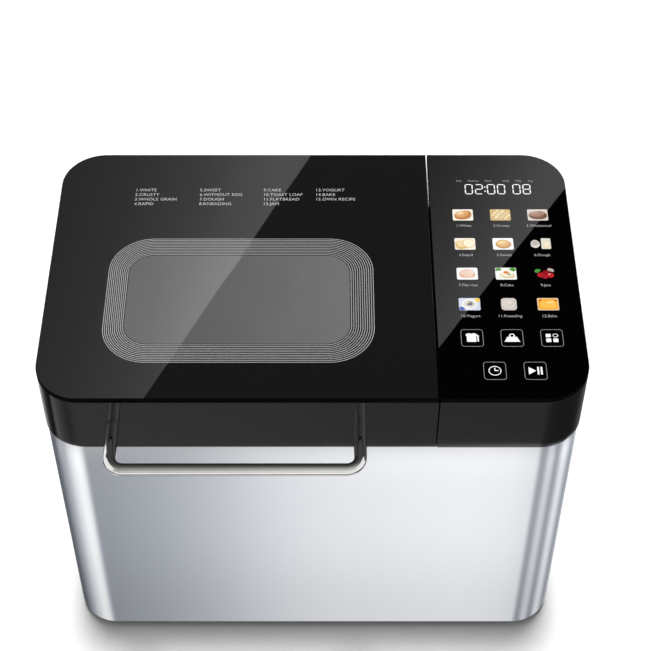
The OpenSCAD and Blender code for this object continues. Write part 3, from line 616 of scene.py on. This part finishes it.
def window():
    """Grey window with its concentric printed lines."""
    gap = 0.05 * MM
    lo = (WINDOW_LO[0] + gap, WINDOW_LO[1] + gap)
    hi = (WINDOW_HI[0] - gap, WINDOW_HI[1] - gap)
    loops = slab_loops(lo, hi, (WINDOW_R - gap,) * 4, [(0, GLASS_Z + 0.5 * MM), (0, FACE_Z)])
    own(loft("window_lens", loops), "lid", "window_glass", material=LENS)
    border = Sheet()
    border.add(shape_mesh([ring_line(0, 0.06 * MM), ring_line(1, 0.0)]), 0, 0, BORDER_BLACK)
    for i in range(RINGS):
        share = i / (RINGS - 1)
        line = [ring_line(share, 0.06 * MM), ring_line(share, 0.56 * MM)]
        border.add(shape_mesh(line), 0, 0, LINE_GREY, 1)
    border.add(shape_mesh([ring_line(1, 0.56 * MM), ring_line(1, 1.3 * MM)]), 0, 0, GAP_BLACK, 1)
    border.piece("window_border", "lid", "bezel_grey", PRINT)


def ring_line(share, inset):
    """Outline part of the way from the border's outer edge to its inner one, moved in by inset."""
    lo = [a + (b - a) * share + inset for a, b in zip(WINDOW_LO, CLEAR_LO)]
    hi = [a + (b - a) * share - inset for a, b in zip(WINDOW_HI, CLEAR_HI)]
    radius = WINDOW_R + (CLEAR_R - WINDOW_R) * share - inset
    return outline(lo, hi, (radius,) * 4, steps=24)


PROGRAMS = (
    (-130.5, "1.WHITE\n2.CRUSTY\n3.WHOLE GRAIN\n4.RAPID"),
    (-83.3, "5.SWEET\n6.WITHOUT EGG\n7.DOUGH\n8.KNEADING"),
    (-36.8, "9.CAKE\n10.TOAST LOAF\n11.FLATBREAD\n12.JAM"),
    (1.3, "13.YOGURT\n14.BAKE\n15.OWN RECIPE"),
)


def program_list():
    sheet = Sheet()
    for x, lines in PROGRAMS:
        sheet.add(text_mesh(lines, 2.75 * MM, pitch=4.75 * MM, spread=1.04), *spot(x, 77.6), SOFT_WHITE)
    sheet.piece("program_list", "lid", "display_plastic", PRINT)


def display():
    """Lit figures, and the small words above them; the words share the figures' glow, which on them is
    painted light.
    """
    sheet = Sheet()
    base_y, height, width, stroke = 74.6, 10.4, 5.9, 0.8
    for x, figure in ((110.9, "0"), (118.3, "2"), (127.2, "0"), (134.6, "0"), (145.9, "0"), (153.3, "8")):
        for loop in segments(figure, width, height, stroke):
            sheet.add(shape_mesh([loop]), *spot(x, base_y), WHITE)
    for y in (77.6, 82.0):
        sheet.add(shape_mesh([tile(0, 0, 1.1, 1.1, 0.2)]), *spot(125.7, y), WHITE)
    words = ("Pale", "Medium", "Dark", "500g", "750g", "1kg")
    for x, word in zip((107, 117.5, 128.5, 141.5, 150.5, 159.5), words):
        sheet.add(text_mesh(word, 1.75 * MM, "CENTER"), *spot(x, 87.7), DIM_GREY)
    sheet.piece("display_figures", "housing", "display_plastic", GLOW_PRINT)


ICON_X = (108.0, 135.1, 162.1)
ICON_Y = (53.3, 24.4, -4.4, -33.0)
TILE_W, TILE_H = 14.7, 11.3
CRUST = (0.5, 0.2, 0.05)
GREEN = (0.08, 0.3, 0.05)
# Twelve little pictures: the tile's colour, then layers of (shape, numbers, colour).
# An "o" is x, y, half width, half height, turn, wobble; an "r" is x, y, width, height, corner, turn.
PICTURES = (
    ((0.92, 0.84, 0.74),
     (("o", (0.2, -0.2, 6.4, 4.5, 12, 0.1), CRUST),
      ("o", (-0.6, 0.8, 5.0, 2.9, 14, 0.12), (0.72, 0.38, 0.14)),
      ("o", (-1.8, 1.6, 2.6, 1.1, 18, 0.1), (0.88, 0.66, 0.4)),
      ("r", (1.8, 0.4, 0.6, 3.2, 0.3, -20), CRUST), ("r", (3.6, 0.2, 0.5, 2.6, 0.25, -20), CRUST))),
    ((0.6, 0.44, 0.2),
     (("r", (-3.4, 2.4, 9.0, 2.2, 1.1, 52), (0.78, 0.62, 0.36)),
      ("r", (-0.6, 0.6, 11.0, 2.2, 1.1, 52), (0.84, 0.7, 0.44)),
      ("r", (2.4, -0.6, 10.6, 2.1, 1.0, 52), (0.74, 0.56, 0.3)),
      ("r", (4.8, -1.8, 7.0, 1.9, 0.9, 52), (0.82, 0.67, 0.42)),
      ("r", (0.0, 0.2, 6.0, 0.35, 0.15, 66), (0.5, 0.32, 0.13)))),
    ((0.66, 0.6, 0.55),
     (("o", (0.2, -0.4, 6.6, 4.2, 0, 0.06), (0.16, 0.075, 0.04)),
      ("o", (-0.4, 0.8, 5.7, 2.6, 4, 0.08), (0.33, 0.19, 0.13)),
      ("o", (-2.0, 1.6, 2.8, 0.9, 8, 0.1), (0.46, 0.3, 0.22)),
      ("o", (3.4, -1.4, 1.8, 1.4, 0, 0.1), (0.22, 0.1, 0.05)))),
    ((0.88, 0.84, 0.72),
     (("o", (-2.2, -0.9, 5.0, 4.4, -18, 0.1), (0.72, 0.47, 0.2)),
      ("o", (-2.0, 0.2, 4.1, 3.2, -18, 0.1), (0.84, 0.66, 0.38)),
      ("o", (2.6, 0.4, 4.2, 4.3, 20, 0.09), (0.74, 0.5, 0.22)),
      ("o", (2.7, 0.5, 3.7, 3.8, 20, 0.08), (0.9, 0.84, 0.62)))),
    ((0.9, 0.9, 0.88),
     (("o", (0.2, -0.3, 5.5, 4.3, 0, 0.03), (0.45, 0.24, 0.08)),
      ("o", (0.0, 0.3, 4.9, 3.5, 0, 0.03), (0.68, 0.41, 0.16)),
      ("o", (-0.6, 1.1, 3.4, 1.9, 6, 0.04), (0.8, 0.57, 0.28)),
      ("o", (-1.3, 1.7, 1.3, 0.6, 10, 0), (0.9, 0.76, 0.5)))),
    (None,
     (("o", (-4.2, -0.1, 3.3, 3.9, 0, 0.03), (0.7, 0.68, 0.64)),
      ("o", (-4.2, 0.7, 2.6, 2.4, 0, 0.05), (0.5, 0.47, 0.42)),
      ("r", (3.5, 0.2, 6.8, 10.4, 0.8, 0), (0.74, 0.71, 0.62)),
      ("o", (3.9, -0.8, 2.2, 3.1, 10, 0.1), (0.84, 0.72, 0.42)),
      ("o", (3.8, -0.2, 1.2, 1.6, 10, 0.1), (0.88, 0.84, 0.72)))),
    ((0.9, 0.89, 0.88),
     (("o", (0.0, -0.2, 5.8, 4.2, 8, 0.12), (0.7, 0.46, 0.34)),
      ("o", (-1.6, 0.8, 2.9, 2.3, 0, 0.1), (0.82, 0.6, 0.48)),
      ("o", (2.2, 1.0, 2.6, 2.0, 0, 0.1), (0.84, 0.66, 0.55)),
      ("o", (0.8, -1.6, 3.0, 1.9, 0, 0.1), (0.8, 0.58, 0.44)))),
    ((0.88, 0.9, 0.86),
     (("o", (-5.2, 4.0, 2.1, 1.6, 20, 0.2), GREEN), ("o", (5.0, 3.9, 2.2, 1.7, -25, 0.2), GREEN),
      ("o", (1.0, -1.2, 5.2, 3.4, -8, 0.1), (0.78, 0.64, 0.42)),
      ("o", (0.6, 0.2, 4.2, 2.7, -8, 0.1), (0.9, 0.86, 0.74)),
      ("o", (0.2, 1.0, 1.9, 1.3, 0, 0.15), (0.8, 0.22, 0.05)),
      ("o", (2.2, -0.8, 1.1, 0.7, 0, 0.2), GREEN))),
    (None,
     (("o", (-4.8, 2.6, 2.2, 1.6, 40, 0.2), GREEN),
      ("o", (4.6, 3.4, 2.4, 1.5, -30, 0.2), (0.5, 0.42, 0.36)),
      ("o", (-2.6, -1.4, 2.6, 2.4, 0, 0.05), (0.42, 0.015, 0.02)),
      ("o", (1.0, 0.6, 2.5, 2.4, 0, 0.05), (0.3, 0.01, 0.015)),
      ("o", (4.0, -1.6, 2.5, 2.3, 0, 0.05), (0.5, 0.02, 0.025)),
      ("o", (0.2, -3.2, 2.2, 1.7, 0, 0.05), (0.36, 0.012, 0.02)),
      ("o", (3.4, -0.7, 0.7, 0.5, 30, 0), (0.85, 0.5, 0.5)))),
    ((0.62, 0.66, 0.8),
     (("o", (5.4, 3.8, 2.0, 1.8, 0, 0.1), (0.85, 0.6, 0.08)),
      ("o", (-5.4, -4.0, 2.0, 1.6, 0, 0.1), (0.06, 0.1, 0.4)),
      ("o", (0.0, 0.0, 5.4, 4.7, 0, 0.02), (0.86, 0.86, 0.84)),
      ("o", (0.0, 0.2, 4.2, 3.5, 0, 0.02), (0.68, 0.66, 0.62)),
      ("o", (0.2, 0.4, 2.2, 1.8, 0, 0.15), (0.16, 0.14, 0.2)),
      ("o", (-0.8, 1.2, 0.9, 0.6, 20, 0.1), (0.8, 0.62, 0.3)))),
    (None,
     (("r", (0, 0, 10.7, 11.2, 2.6, 0), (0.6, 0.56, 0.51)),
      ("o", (-0.3, 0.4, 4.3, 4.3, 0, 0.04), (0.68, 0.64, 0.59)),
      ("o", (0.5, 0.8, 3.0, 2.6, 25, 0.08), (0.58, 0.53, 0.48)),
      ("o", (0.3, 1.2, 2.4, 1.8, 25, 0.08), (0.72, 0.68, 0.63)))),
    ((0.78, 0.56, 0.36),
     (("r", (0, 0, 13.2, 9.6, 1.6, 0), (0.9, 0.4, 0.04)),
      ("r", (0.1, -0.2, 10.6, 7.0, 1.6, 0), (0.95, 0.52, 0.09)),
      ("o", (-5.2, 3.4, 1.1, 0.8, 20, 0.1), (0.5, 0.15, 0.02)),
      ("o", (5.4, 3.2, 1.1, 0.8, -20, 0.1), (0.52, 0.16, 0.02)),
      ("o", (1.6, 1.6, 3.0, 0.9, 8, 0.2), (0.97, 0.68, 0.25)))),
)
CAPTIONS = ("1.White", "2.Crusty", "3.Wholemeal", "4.Rapid", "5.Sweet", "6.Dough", "7.Flat rice", "8.Cake",
            "9.Jam", "10.Yogurt", "11.Kneading", "12.Bake")


def pictures():
    """Twelve printed pictures with a caption under each, given a faint glow that is painted light."""
    sheet = Sheet()
    half_w, half_h = (TILE_W / 2 - 0.05) * MM, (TILE_H / 2 - 0.05) * MM
    for n, (ground, layers) in enumerate(PICTURES):
        x, y = spot(ICON_X[n % 3], ICON_Y[n // 3])
        if ground:
            sheet.add(shape_mesh([tile(0, 0, TILE_W, TILE_H, 1.1)]), x, y, ground)
        for level, (kind, numbers, colour) in enumerate(layers, 1):
            if kind == "o":
                loop = oval(*numbers, seed=n * 10 + level)
            else:
                loop = tile(*numbers)
            loop = [(max(-half_w, min(half_w, px)), max(-half_h, min(half_h, py))) for px, py in loop]
            sheet.add(shape_mesh([loop]), x, y, colour, level)
        sheet.add(text_mesh(CAPTIONS[n], 2.35 * MM, "CENTER"), x, y - 11.9 * MM, CAPTION_GREY)
    sheet.piece("menu_pictures", "housing", "display_plastic", GLOW_PRINT)


# Each symbol is a list of filled shapes; a shape is one loop, or an outer loop with a hole.

def loaf_symbol():
    return [[oval(-2.0, 2.6, 2.3, 1.5)], [oval(1.2, 2.6, 2.3, 1.5)], [tile(-0.4, -0.5, 6.4, 6.0, 0.5)],
            [tile(4.0, -0.4, 1.0, 5.8, 0.4)]]


def weight_symbol():
    return [[placed([(-5.3, -3.4), (5.3, -3.4), (3.3, 1.0), (-3.3, 1.0)], 0, 0)],
            [oval(0, 2.0, 2.0, 1.9), oval(0, 2.0, 1.2, 1.1)]]


def menu_symbol():
    return [[tile(-2.4, 2.1, 3.4, 3.0, 0.5)], [tile(-2.4, -2.1, 3.4, 3.2, 0.5)],
            [tile(2.4, -2.1, 3.4, 3.2, 0.5)], [oval(2.4, 2.1, 1.9, 1.6), oval(2.4, 2.1, 1.4, 1.15)]]


def clock_symbol():
    return [[oval(0, 0, 4.3, 4.1, count=40), oval(0, 0, 3.7, 3.5, count=40)], [hand(0, -0.2, 0, 2.6, 0.7)],
            [hand(-0.3, 0.1, 2.4, 0.1, 0.7)]]


def start_symbol():
    return [[placed([(-4.6, -3.2), (-4.6, 3.2), (0.4, 0)], 0, 0)], [tile(1.8, 0, 1.2, 6.6, 0.2)],
            [tile(4.0, 0, 1.2, 6.6, 0.2)]]


def hand(x0, y0, x1, y1, t):
    """A clock's hand between two points, t wide."""
    length = math.hypot(x1 - x0, y1 - y0)
    turn = math.degrees(math.atan2(y1 - y0, x1 - x0))
    return tile((x0 + x1) / 2, (y0 + y1) / 2, length, t, t * 0.4, turn)


def keys():
    """Five outlined touch keys with their symbols; their faint glow is painted light."""
    sheet = Sheet()
    top, low = -63.6, -92.3
    slots = ((ICON_X[0], top), (ICON_X[1], top), (ICON_X[2], top),
             ((ICON_X[0] + ICON_X[1]) / 2, low), ((ICON_X[1] + ICON_X[2]) / 2, low))
    for x, y in slots:
        sheet.add(shape_mesh(frame_loops(15.1, 15.3, 2.2, 0.36)), *spot(x, y), KEY_GREY)
    symbols = (loaf_symbol(), weight_symbol(), menu_symbol(), clock_symbol(), start_symbol())
    for (x, y), parts in zip(slots, symbols):
        for level, loops in enumerate(parts, 1):
            sheet.add(shape_mesh(loops), *spot(x, y), WHITE, level)
    sheet.piece("touch_keys", "housing", "display_plastic", GLOW_PRINT)


# ---- Handle, feet, pan and paddle ----

def front_handle():
    """U-shaped chrome rod."""
    radius = (HANDLE_HI.z - HANDLE_LO.z) / 2
    z = (HANDLE_HI.z + HANDLE_LO.z) / 2
    path = u_path(HANDLE_LO.x + radius, HANDLE_HI.x - radius, HANDLE_HI.y, HANDLE_LO.y + radius, 9.5 * MM, z)
    own(sweep("front_handle_rod", path, radius, sides=40), "lid", "chrome", "front_handle")


def feet():
    """Rubber feet with a rounded rim and a groove under them."""
    for name in FEET:
        lo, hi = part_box(name)
        centre = (lo + hi) / 2
        r = (hi.x - lo.x) / 2
        seat = STEEL_LO.z
        profile = [(0.5 * MM, 0.8 * MM), (r * 0.45, 0.8 * MM), (r * 0.5, 0.0), (r * 0.86, 0.0)]
        profile += [(r * 0.86 + 1.2 * MM * math.sin(a), 1.2 * MM * (1 - math.cos(a)))
                    for a in (math.pi / 8 * k for k in range(1, 5))]
        profile += [(r, 2.4 * MM), (r, seat - 0.6 * MM), (r - 0.5 * MM, seat), (4 * MM, seat), (4 * MM, hi.z),
                    (0.5 * MM, hi.z)]
        own(lathe(name + "_pad", centre, profile), "housing", "rubber", name)


def bread_pan():
    """Pressed pan: flared walls, rounded bottom, a flat rim with a rolled edge."""
    rim = 6 * MM
    flare = 8 * MM
    wall = 1.2 * MM
    lo, hi = (PAN_LO.x, PAN_LO.y), (PAN_HI.x, PAN_HI.y)
    z0, z1 = PAN_LO.z, PAN_HI.z
    turn = 9 * MM
    roll = 1.5 * MM

    def inset_at(z):
        return rim + flare * (1 - (z - z0) / (z1 - z0))

    outside = []
    for k in range(7):
        a = math.pi / 2 * k / 6
        z = z0 + turn * (1 - math.cos(a))
        outside.append((inset_at(z) + turn * (1 - math.sin(a)), z))
    rim_top = z1 - 0.01 * MM
    edge = [(rim - 0.2 * MM, rim_top - wall), (roll, rim_top - wall), (0.8 * roll, rim_top - 1.6 * roll),
            (0.2 * roll, rim_top - 1.3 * roll), (0.0, rim_top - 0.8 * roll),
            (0.15 * roll, rim_top - 0.3 * roll), (0.55 * roll, rim_top), (rim - 0.8 * MM, rim_top),
            (rim + 0.9 * MM, rim_top - 0.5 * MM), (rim + wall, rim_top - 2 * MM)]
    inside = [(inset + wall, z + wall) for inset, z in reversed(outside)]
    loops = slab_loops(lo, hi, (28 * MM,) * 4, outside + edge + inside, steps=14)
    own(loft("bread_pan_body", loops), "pan", "nonstick", "bread_pan")


def paddle():
    """Cast paddle: a waisted hub and a curved blade with rounded edges."""
    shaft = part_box("pan_shaft")
    axis = (shaft[0] + shaft[1]) / 2
    low, high = PADDLE_LO.z + 8 * MM, PADDLE_HI.z
    hub = [(4.5 * MM, low), (8.6 * MM, low), (9 * MM, low + 0.6 * MM), (8.4 * MM, low + 6 * MM),
           (7.6 * MM, low + 14 * MM), (7.2 * MM, high - 3 * MM), (6.4 * MM, high - 1.2 * MM),
           (4.6 * MM, high - 0.2 * MM), (1 * MM, high)]
    own(lathe("paddle_hub", axis, hub), "paddle", "nonstick", "kneading_paddle")
    # Blade from tail to tip, in millimetres: (x, lower edge, upper edge)
    blade_rows = ((-21.5, 1, 5.5), (-9, 1, 18), (0, 1, 20.5), (11, -7, 20.5), (20, -7.6, 19), (30, -7.8, 16),
                  (38, -7.8, 11), (44, -7.4, 5), (46, -6, -2))
    loops = []
    for x, z_low, z_high in blade_rows:
        mid, half = (z_low + z_high) / 2, (z_high - z_low) / 2
        thick = 2.5 * (1 - 0.35 * abs(x) / 46)
        loop = []
        for k in range(24):
            a = 2 * math.pi * k / 24
            cz = math.copysign(abs(math.cos(a)) ** 0.6, math.cos(a))
            sy = math.copysign(abs(math.sin(a)) ** 0.8, math.sin(a))
            loop.append((axis.x + x * MM, axis.y + thick * sy * MM, low + (mid + half * cz) * MM))
        loops.append(loop)
    blade = loft("paddle_blade", loops)
    subdivision = blade.modifiers.new("soft", "SUBSURF")
    subdivision.levels = subdivision.render_levels = 1
    own(blade, "paddle", "nonstick")


# ---- Stage: camera, floor, light ----

CAMERA = Vector((8.74, -773.2, 1141.7)) * MM
PITCH = 49.11
LENS_MM = 91.68


def camera():
    data = bpy.data.cameras.new("camera")
    data.lens = LENS_MM
    data.sensor_width = 36
    data.clip_start, data.clip_end = 0.02, 60
    eye = bpy.data.objects.new("camera", data)
    eye.location = CAMERA
    eye.rotation_euler = (math.radians(90 - PITCH), 0, 0)
    bpy.context.scene.collection.objects.link(eye)
    bpy.context.scene.camera = eye


def stage_piece(name, bm, material, glossy_only=False):
    mesh = bpy.data.meshes.new(name)
    bm.to_mesh(mesh)
    bm.free()
    piece = link(name, mesh)
    piece.data.materials.append(material)
    if glossy_only:
        piece.visible_camera = piece.visible_diffuse = piece.visible_shadow = False
        piece.visible_transmission = piece.visible_volume_scatter = False


def card_light():
    """Light-emitting card whose light comes from its mesh."""
    mat = bpy.data.materials.new("card_light")
    mat.use_nodes = True
    tree = mat.node_tree
    tree.nodes.clear()
    out = tree.nodes.new("ShaderNodeOutputMaterial")
    lamp = tree.nodes.new("ShaderNodeEmission")
    level = tree.nodes.new("ShaderNodeVertexColor")
    level.layer_name = "light"
    tree.links.new(level.outputs[0], lamp.inputs["Color"])
    tree.links.new(lamp.outputs[0], out.inputs[0])
    return mat


def card(name, rows, lights, material):
    """A card skinned between rows of points; lights holds one colour for each point."""
    bm = bmesh.new()
    level = bm.verts.layers.float_color.new("light")
    made = []
    for points, colours in zip(rows, lights):
        made.append([bm.verts.new(p) for p in points])
        for vert, colour in zip(made[-1], colours):
            vert[level] = (*colour, 1)
    for low, high in zip(made, made[1:]):
        for i in range(len(low) - 1):
            bm.faces.new((low[i], low[i + 1], high[i + 1], high[i]))
    stage_piece(name, bm, material, True)


def between(table, x):
    """Value at x in a table of (x, value) pairs, joined by straight lines."""
    for (x0, v0), (x1, v1) in zip(table, table[1:]):
        if x <= x1:
            return v0 + (v1 - v0) * max(x - x0, 0) / (x1 - x0)
    return table[-1][1]


def grey(level, blue=0.0):
    return level * (1 - blue * 0.5), level, level * (1 + blue)


def above(x, y, height):
    """Where a card at this height has to be, for the mirror-like top to show it at this place."""
    px, py = spot(x, y)
    under = 2 * FACE_Z - CAMERA.z
    share = (height - under) / (FACE_Z - under)
    return CAMERA.x + (px - CAMERA.x) * share, CAMERA.y + (py - CAMERA.y) * share, height


# This isn't a plain studio. The cards over the top and on the floor stand where the main camera's reflected
# rays meet them, so they fit that view only. The levels in LID_SKY, HEAD_SKY, STEEL_* and BAND_* follow tones
# that a separate script sampled from the reference picture, corrected against renders, and a script scaled
# STEEL_LEFT once. They aren't free choices, and simple values chosen by hand should replace them.

# How bright the studio looks in the top, by a slanted distance across it, and the ends of each slanted edge
SKY = 2.3
SEAM_X, SIDE_X, FAR_Y = 84, 186, 128
LID_EDGE = ((3, FAR_Y), (-116, -FAR_Y))
LID_SKY = ((-195, 0.42), (-148, 0.58), (-120, 0.74), (-103, 0.85), (-88, 1.0), (-73, 1.22), (-43, 1.45),
           (0, 1.2))
HEAD_EDGE = ((SIDE_X, 83.2), (SEAM_X, -73.6))
HEAD_SKY = ((40, 0.36), (61, 0.48), (88, 0.7), (100, 0.84), (113, 1.0), (133, 1.22))


def sky_cards(material):
    """Cards over the top: a soft light that ends in a straight slanted edge, and a dark flag beyond it."""
    (x1, y1), (x0, y0) = LID_EDGE
    for name, end, level in (("lid_light", -200, None), ("lid_flag", SEAM_X, 0.18)):
        rows, lights = [], []
        for j in range(9):
            y = y0 + (y1 - y0) * j / 8
            edge = x0 + (x1 - x0) * j / 8
            xs = [edge + (end - edge) * i / 16 for i in range(17)]
            rows.append([above(x, y, SKY) for x in xs])
            lights.append([grey(between(LID_SKY, x - 0.216 * y) if level is None else level) for x in xs])
        card(name, rows, lights, material)
    (x1, y1), (x0, y0) = HEAD_EDGE
    for name, far_y, dim in (("head_light", FAR_Y, False), ("head_flag", -FAR_Y, True)):
        rows, lights = [], []
        for j in range(17):
            x = SEAM_X + (SIDE_X - SEAM_X) * j / 16
            edge = y0 + (y1 - y0) * (x - x0) / (x1 - x0)
            ys = [edge + (far_y - edge) * i / 16 for i in range(17)]
            rows.append([above(x, y, SKY) for y in ys])
            lights.append([grey(0.0 if dim else between(HEAD_SKY, x - 0.44 * y)) for y in ys])
        card(name, rows, lights, material)


# Light on the floor round the machine, as its walls show it. Corners go by the angle of the wall's face, the
# front by the distance from the middle in millimetres. The note above says where the levels come from.
STEEL_LEFT = ((0, 0.28), (3, 0.32), (6, 0.48), (9, 0.73), (12, 0.86), (15, 0.9), (18, 0.89), (21, 0.83),
              (24, 0.75), (30, 0.6), (36, 0.43), (42, 0.31), (48, 0.21), (54, 0.12), (80, 0.12))
STEEL_FRONT = ((-154, 0.3), (-138, 0.335), (-115, 0.385), (-93, 0.445), (-70, 0.52), (-48, 0.6),
               (-26, 0.675), (-3, 0.73), (19, 0.77), (41, 0.785), (64, 0.81), (109, 0.84), (140, 0.815),
               (154, 0.75))
STEEL_RIGHT = ((0, 0.78), (3, 0.57), (6, 0.36), (9, 0.3), (12, 0.4), (15, 0.53), (18, 0.63), (21.5, 0.6),
               (24.5, 0.42), (28, 0.29), (31, 0.33), (34.5, 0.53), (37.5, 0.68), (40.5, 0.77), (44, 0.7),
               (50, 0.47), (56, 0.25), (59, 0.3), (62, 0.45), (80, 0.45))
STEEL_HEIGHT = ((0, 0.8), (0.03, 0.82), (0.06, 0.86), (0.09, 0.92), (0.12, 0.97), (0.15, 1.0), (0.24, 1.02))
BAND_LEFT = ((0, 0.48), (6, 0.45), (9, 0.39), (15, 0.25), (18, 0.23), (24, 0.3), (30, 0.4), (36, 0.53),
             (38, 0.4), (41, 0.02), (46, 0.04), (51, 0.09), (54, 0.19), (57, 0.33), (62, 0.62), (80, 0.62))
BAND_FRONT = ((-154, 0.48), (-20, 0.43), (50, 0.36), (154, 0.32))
BAND_RIGHT = ((0, 0.32), (6, 0.19), (12, 0.12), (18, 0.085), (42, 0.05), (48, 0.07), (54, 0.1), (60, 0.17),
              (80, 0.2))
STEEL_SHINE = 0.86
# How far the steel's light is pushed away from the band's near the line between them, by share of the height
STEEL_PUSH = ((0.75, 0.0), (0.88, 0.05), (0.95, 0.5), (1.0, 1.3))


def wall_stations():
    """Places round the housing from its left side over the front to the right, with the face's direction."""
    corner_y = FRONT_Y + CORNER
    half = HEAD_HI.x - MID.x - CORNER
    stations = []
    for side, angles in ((-1, range(80, 0, -2)), (1, range(2, 82, 2))):
        turn = []
        for degrees in angles:
            a = math.radians(degrees)
            normal = Vector((side * math.sin(a), -math.cos(a)))
            place = Vector((MID.x + side * half, corner_y)) + CORNER * normal
            steel, band = (STEEL_LEFT, BAND_LEFT) if side < 0 else (STEEL_RIGHT, BAND_RIGHT)
            turn.append((place, normal, between(steel, degrees), between(band, degrees)))
        stations.append(turn)
    front = []
    for i in range(29):
        x = -half + 2 * half * i / 28
        place, normal = Vector((MID.x + x, FRONT_Y)), Vector((0, -1))
        front.append((place, normal, between(STEEL_FRONT, x / MM), between(BAND_FRONT, x / MM)))
    return stations[0] + front + stations[1]


def floor_cards(material):
    """Cards on the floor that shape what the steel and the band show."""
    eye = Vector(CAMERA[:2])
    rise = 1 * MM
    split = STEEL_HI.z
    stations = wall_stations()

    def hit(place, normal, z):
        look = place - eye
        bounced = look - 2 * look.dot(normal) * normal
        return (*(place + bounced * z / (CAMERA.z - z)), rise)
    heights = [split * k / 24 for k in range(25)]
    rows = [[hit(place, normal, z) for place, normal, _, _ in stations] for z in heights]
    lights = []
    for z in heights:
        lift, push = between(STEEL_HEIGHT, z), between(STEEL_PUSH, z / split)
        lights.append([grey((level * lift + max(level - band, 0) * push) / STEEL_SHINE,
                            0.17 * max(0.98 - level, 0)) for _, _, level, band in stations])
    card("steel_card", rows, lights, material)
    heights = (split, split + 10 * MM, GLASS_Z, 2 * TOP_Z)
    rows = [[hit(place, normal, z) for place, normal, _, _ in stations] for z in heights]
    lights = [[grey(band) for _, _, _, band in stations] for _ in heights]
    card("band_card", rows, lights, material)


ROD_SIDE = ((-0.5, 0.8), (-0.2, 0.95), (0.0, 1.3), (0.3, 1.4))


def rod_cards(material):
    """Cards overhead, in front and just behind the handle: chrome that is dark above and pale below."""
    high = 2.0
    xs = (-1.6, -0.5, -0.2, 0.0, 0.3, 1.6)
    steps = ((1.0, 0.06), (0.45, 0.12), (-0.15, 0.22), (-0.7, 0.38), (-1.4, 0.42), (-2.2, 0.52))
    rows = [[(x, y, high) for x in xs] for y, _ in steps]
    lights = [[grey(level * between(ROD_SIDE, x)) for x in xs] for _, level in steps]
    card("overhead_card", rows, lights, material)
    rows = [[(x * 2, -2.6, z) for x in xs] for z in (0.002, 3.0)]
    warm = (0.66, 0.655, 0.63)
    lights = [[tuple(part * between(ROD_SIDE, x) for part in warm) for x in xs]] * 2
    card("front_wall_card", rows, lights, material)
    y = FRONT_Y + 1 * MM
    reach = 46 * MM
    rows = [[(x, y, z) for x in (HANDLE_LO.x - reach, HANDLE_HI.x + reach)] for z in (TOP_Z, TOP_Z + reach)]
    card("handle_flag", rows, [[grey(0.06)] * 2] * 2, material)


def lights():
    """White world, 1.0 for what mirrors it and 0.3 for what it lights, and a soft key from above."""
    world = bpy.data.worlds.new("studio")
    world.use_nodes = True
    tree = world.node_tree
    ray = tree.nodes.new("ShaderNodeLightPath")
    level = tree.nodes.new("ShaderNodeMapRange")
    level.inputs["To Min"].default_value = 1.0
    level.inputs["To Max"].default_value = 0.3
    tree.links.new(ray.outputs["Is Diffuse Ray"], level.inputs["Value"])
    background = tree.nodes["Background"]
    background.inputs["Color"].default_value = (1, 1, 1, 1)
    tree.links.new(level.outputs[0], background.inputs["Strength"])
    bpy.context.scene.world = world
    data = bpy.data.lights.new("key", "SUN")
    data.energy = 3.3
    data.angle = math.radians(9.5)
    lamp = bpy.data.objects.new("key", data)
    lamp.rotation_euler = (math.radians(-5.6), 0, 0)
    lamp.visible_glossy = False
    bpy.context.scene.collection.objects.link(lamp)
    scene = bpy.context.scene
    scene.view_settings.view_transform = "Standard"
    scene.view_settings.look = "None"


def floor():
    g = Graph("studio_floor")
    g.done(Base_Color=g.tint(g.noise(1.5), (0.93, 0.93, 0.93), 0.01), Roughness=0.9, Specular_IOR_Level=0.1)
    size = 14
    bm = bmesh.new()
    bm.faces.new([bm.verts.new((x * size, y * size, 0)) for x, y in ((-1, -1), (1, -1), (1, 1), (-1, 1))])
    stage_piece("floor", bm, g.mat)


# ---- Everything together ----

REPLACED = {"lid_glass", "control_glass", "front_handle", "bread_pan", "kneading_paddle", *FEET}
EDGES = {"steel_wrap": 0.25, "lid_shell": 0.3, "control_housing": 0.3, "rear_cover": 0, "base_tray": 0.4,
         "deck_frame": 0.4, "chamber_liner": 0.2, "lid_liner": 0.2, "cord_gland": 0.4}

camera()
floor()
lights()
cards = card_light()
sky_cards(cards)
floor_cards(cards)
rod_cards(cards)
for node_name in sorted(set(NODES) - REPLACED):
    dress(node_name, EDGES.get(node_name, 0.25) * MM)
lid_plate()
head_plate()
window()
program_list()
display()
pictures()
keys()
front_handle()
feet()
bread_pan()
paddle()
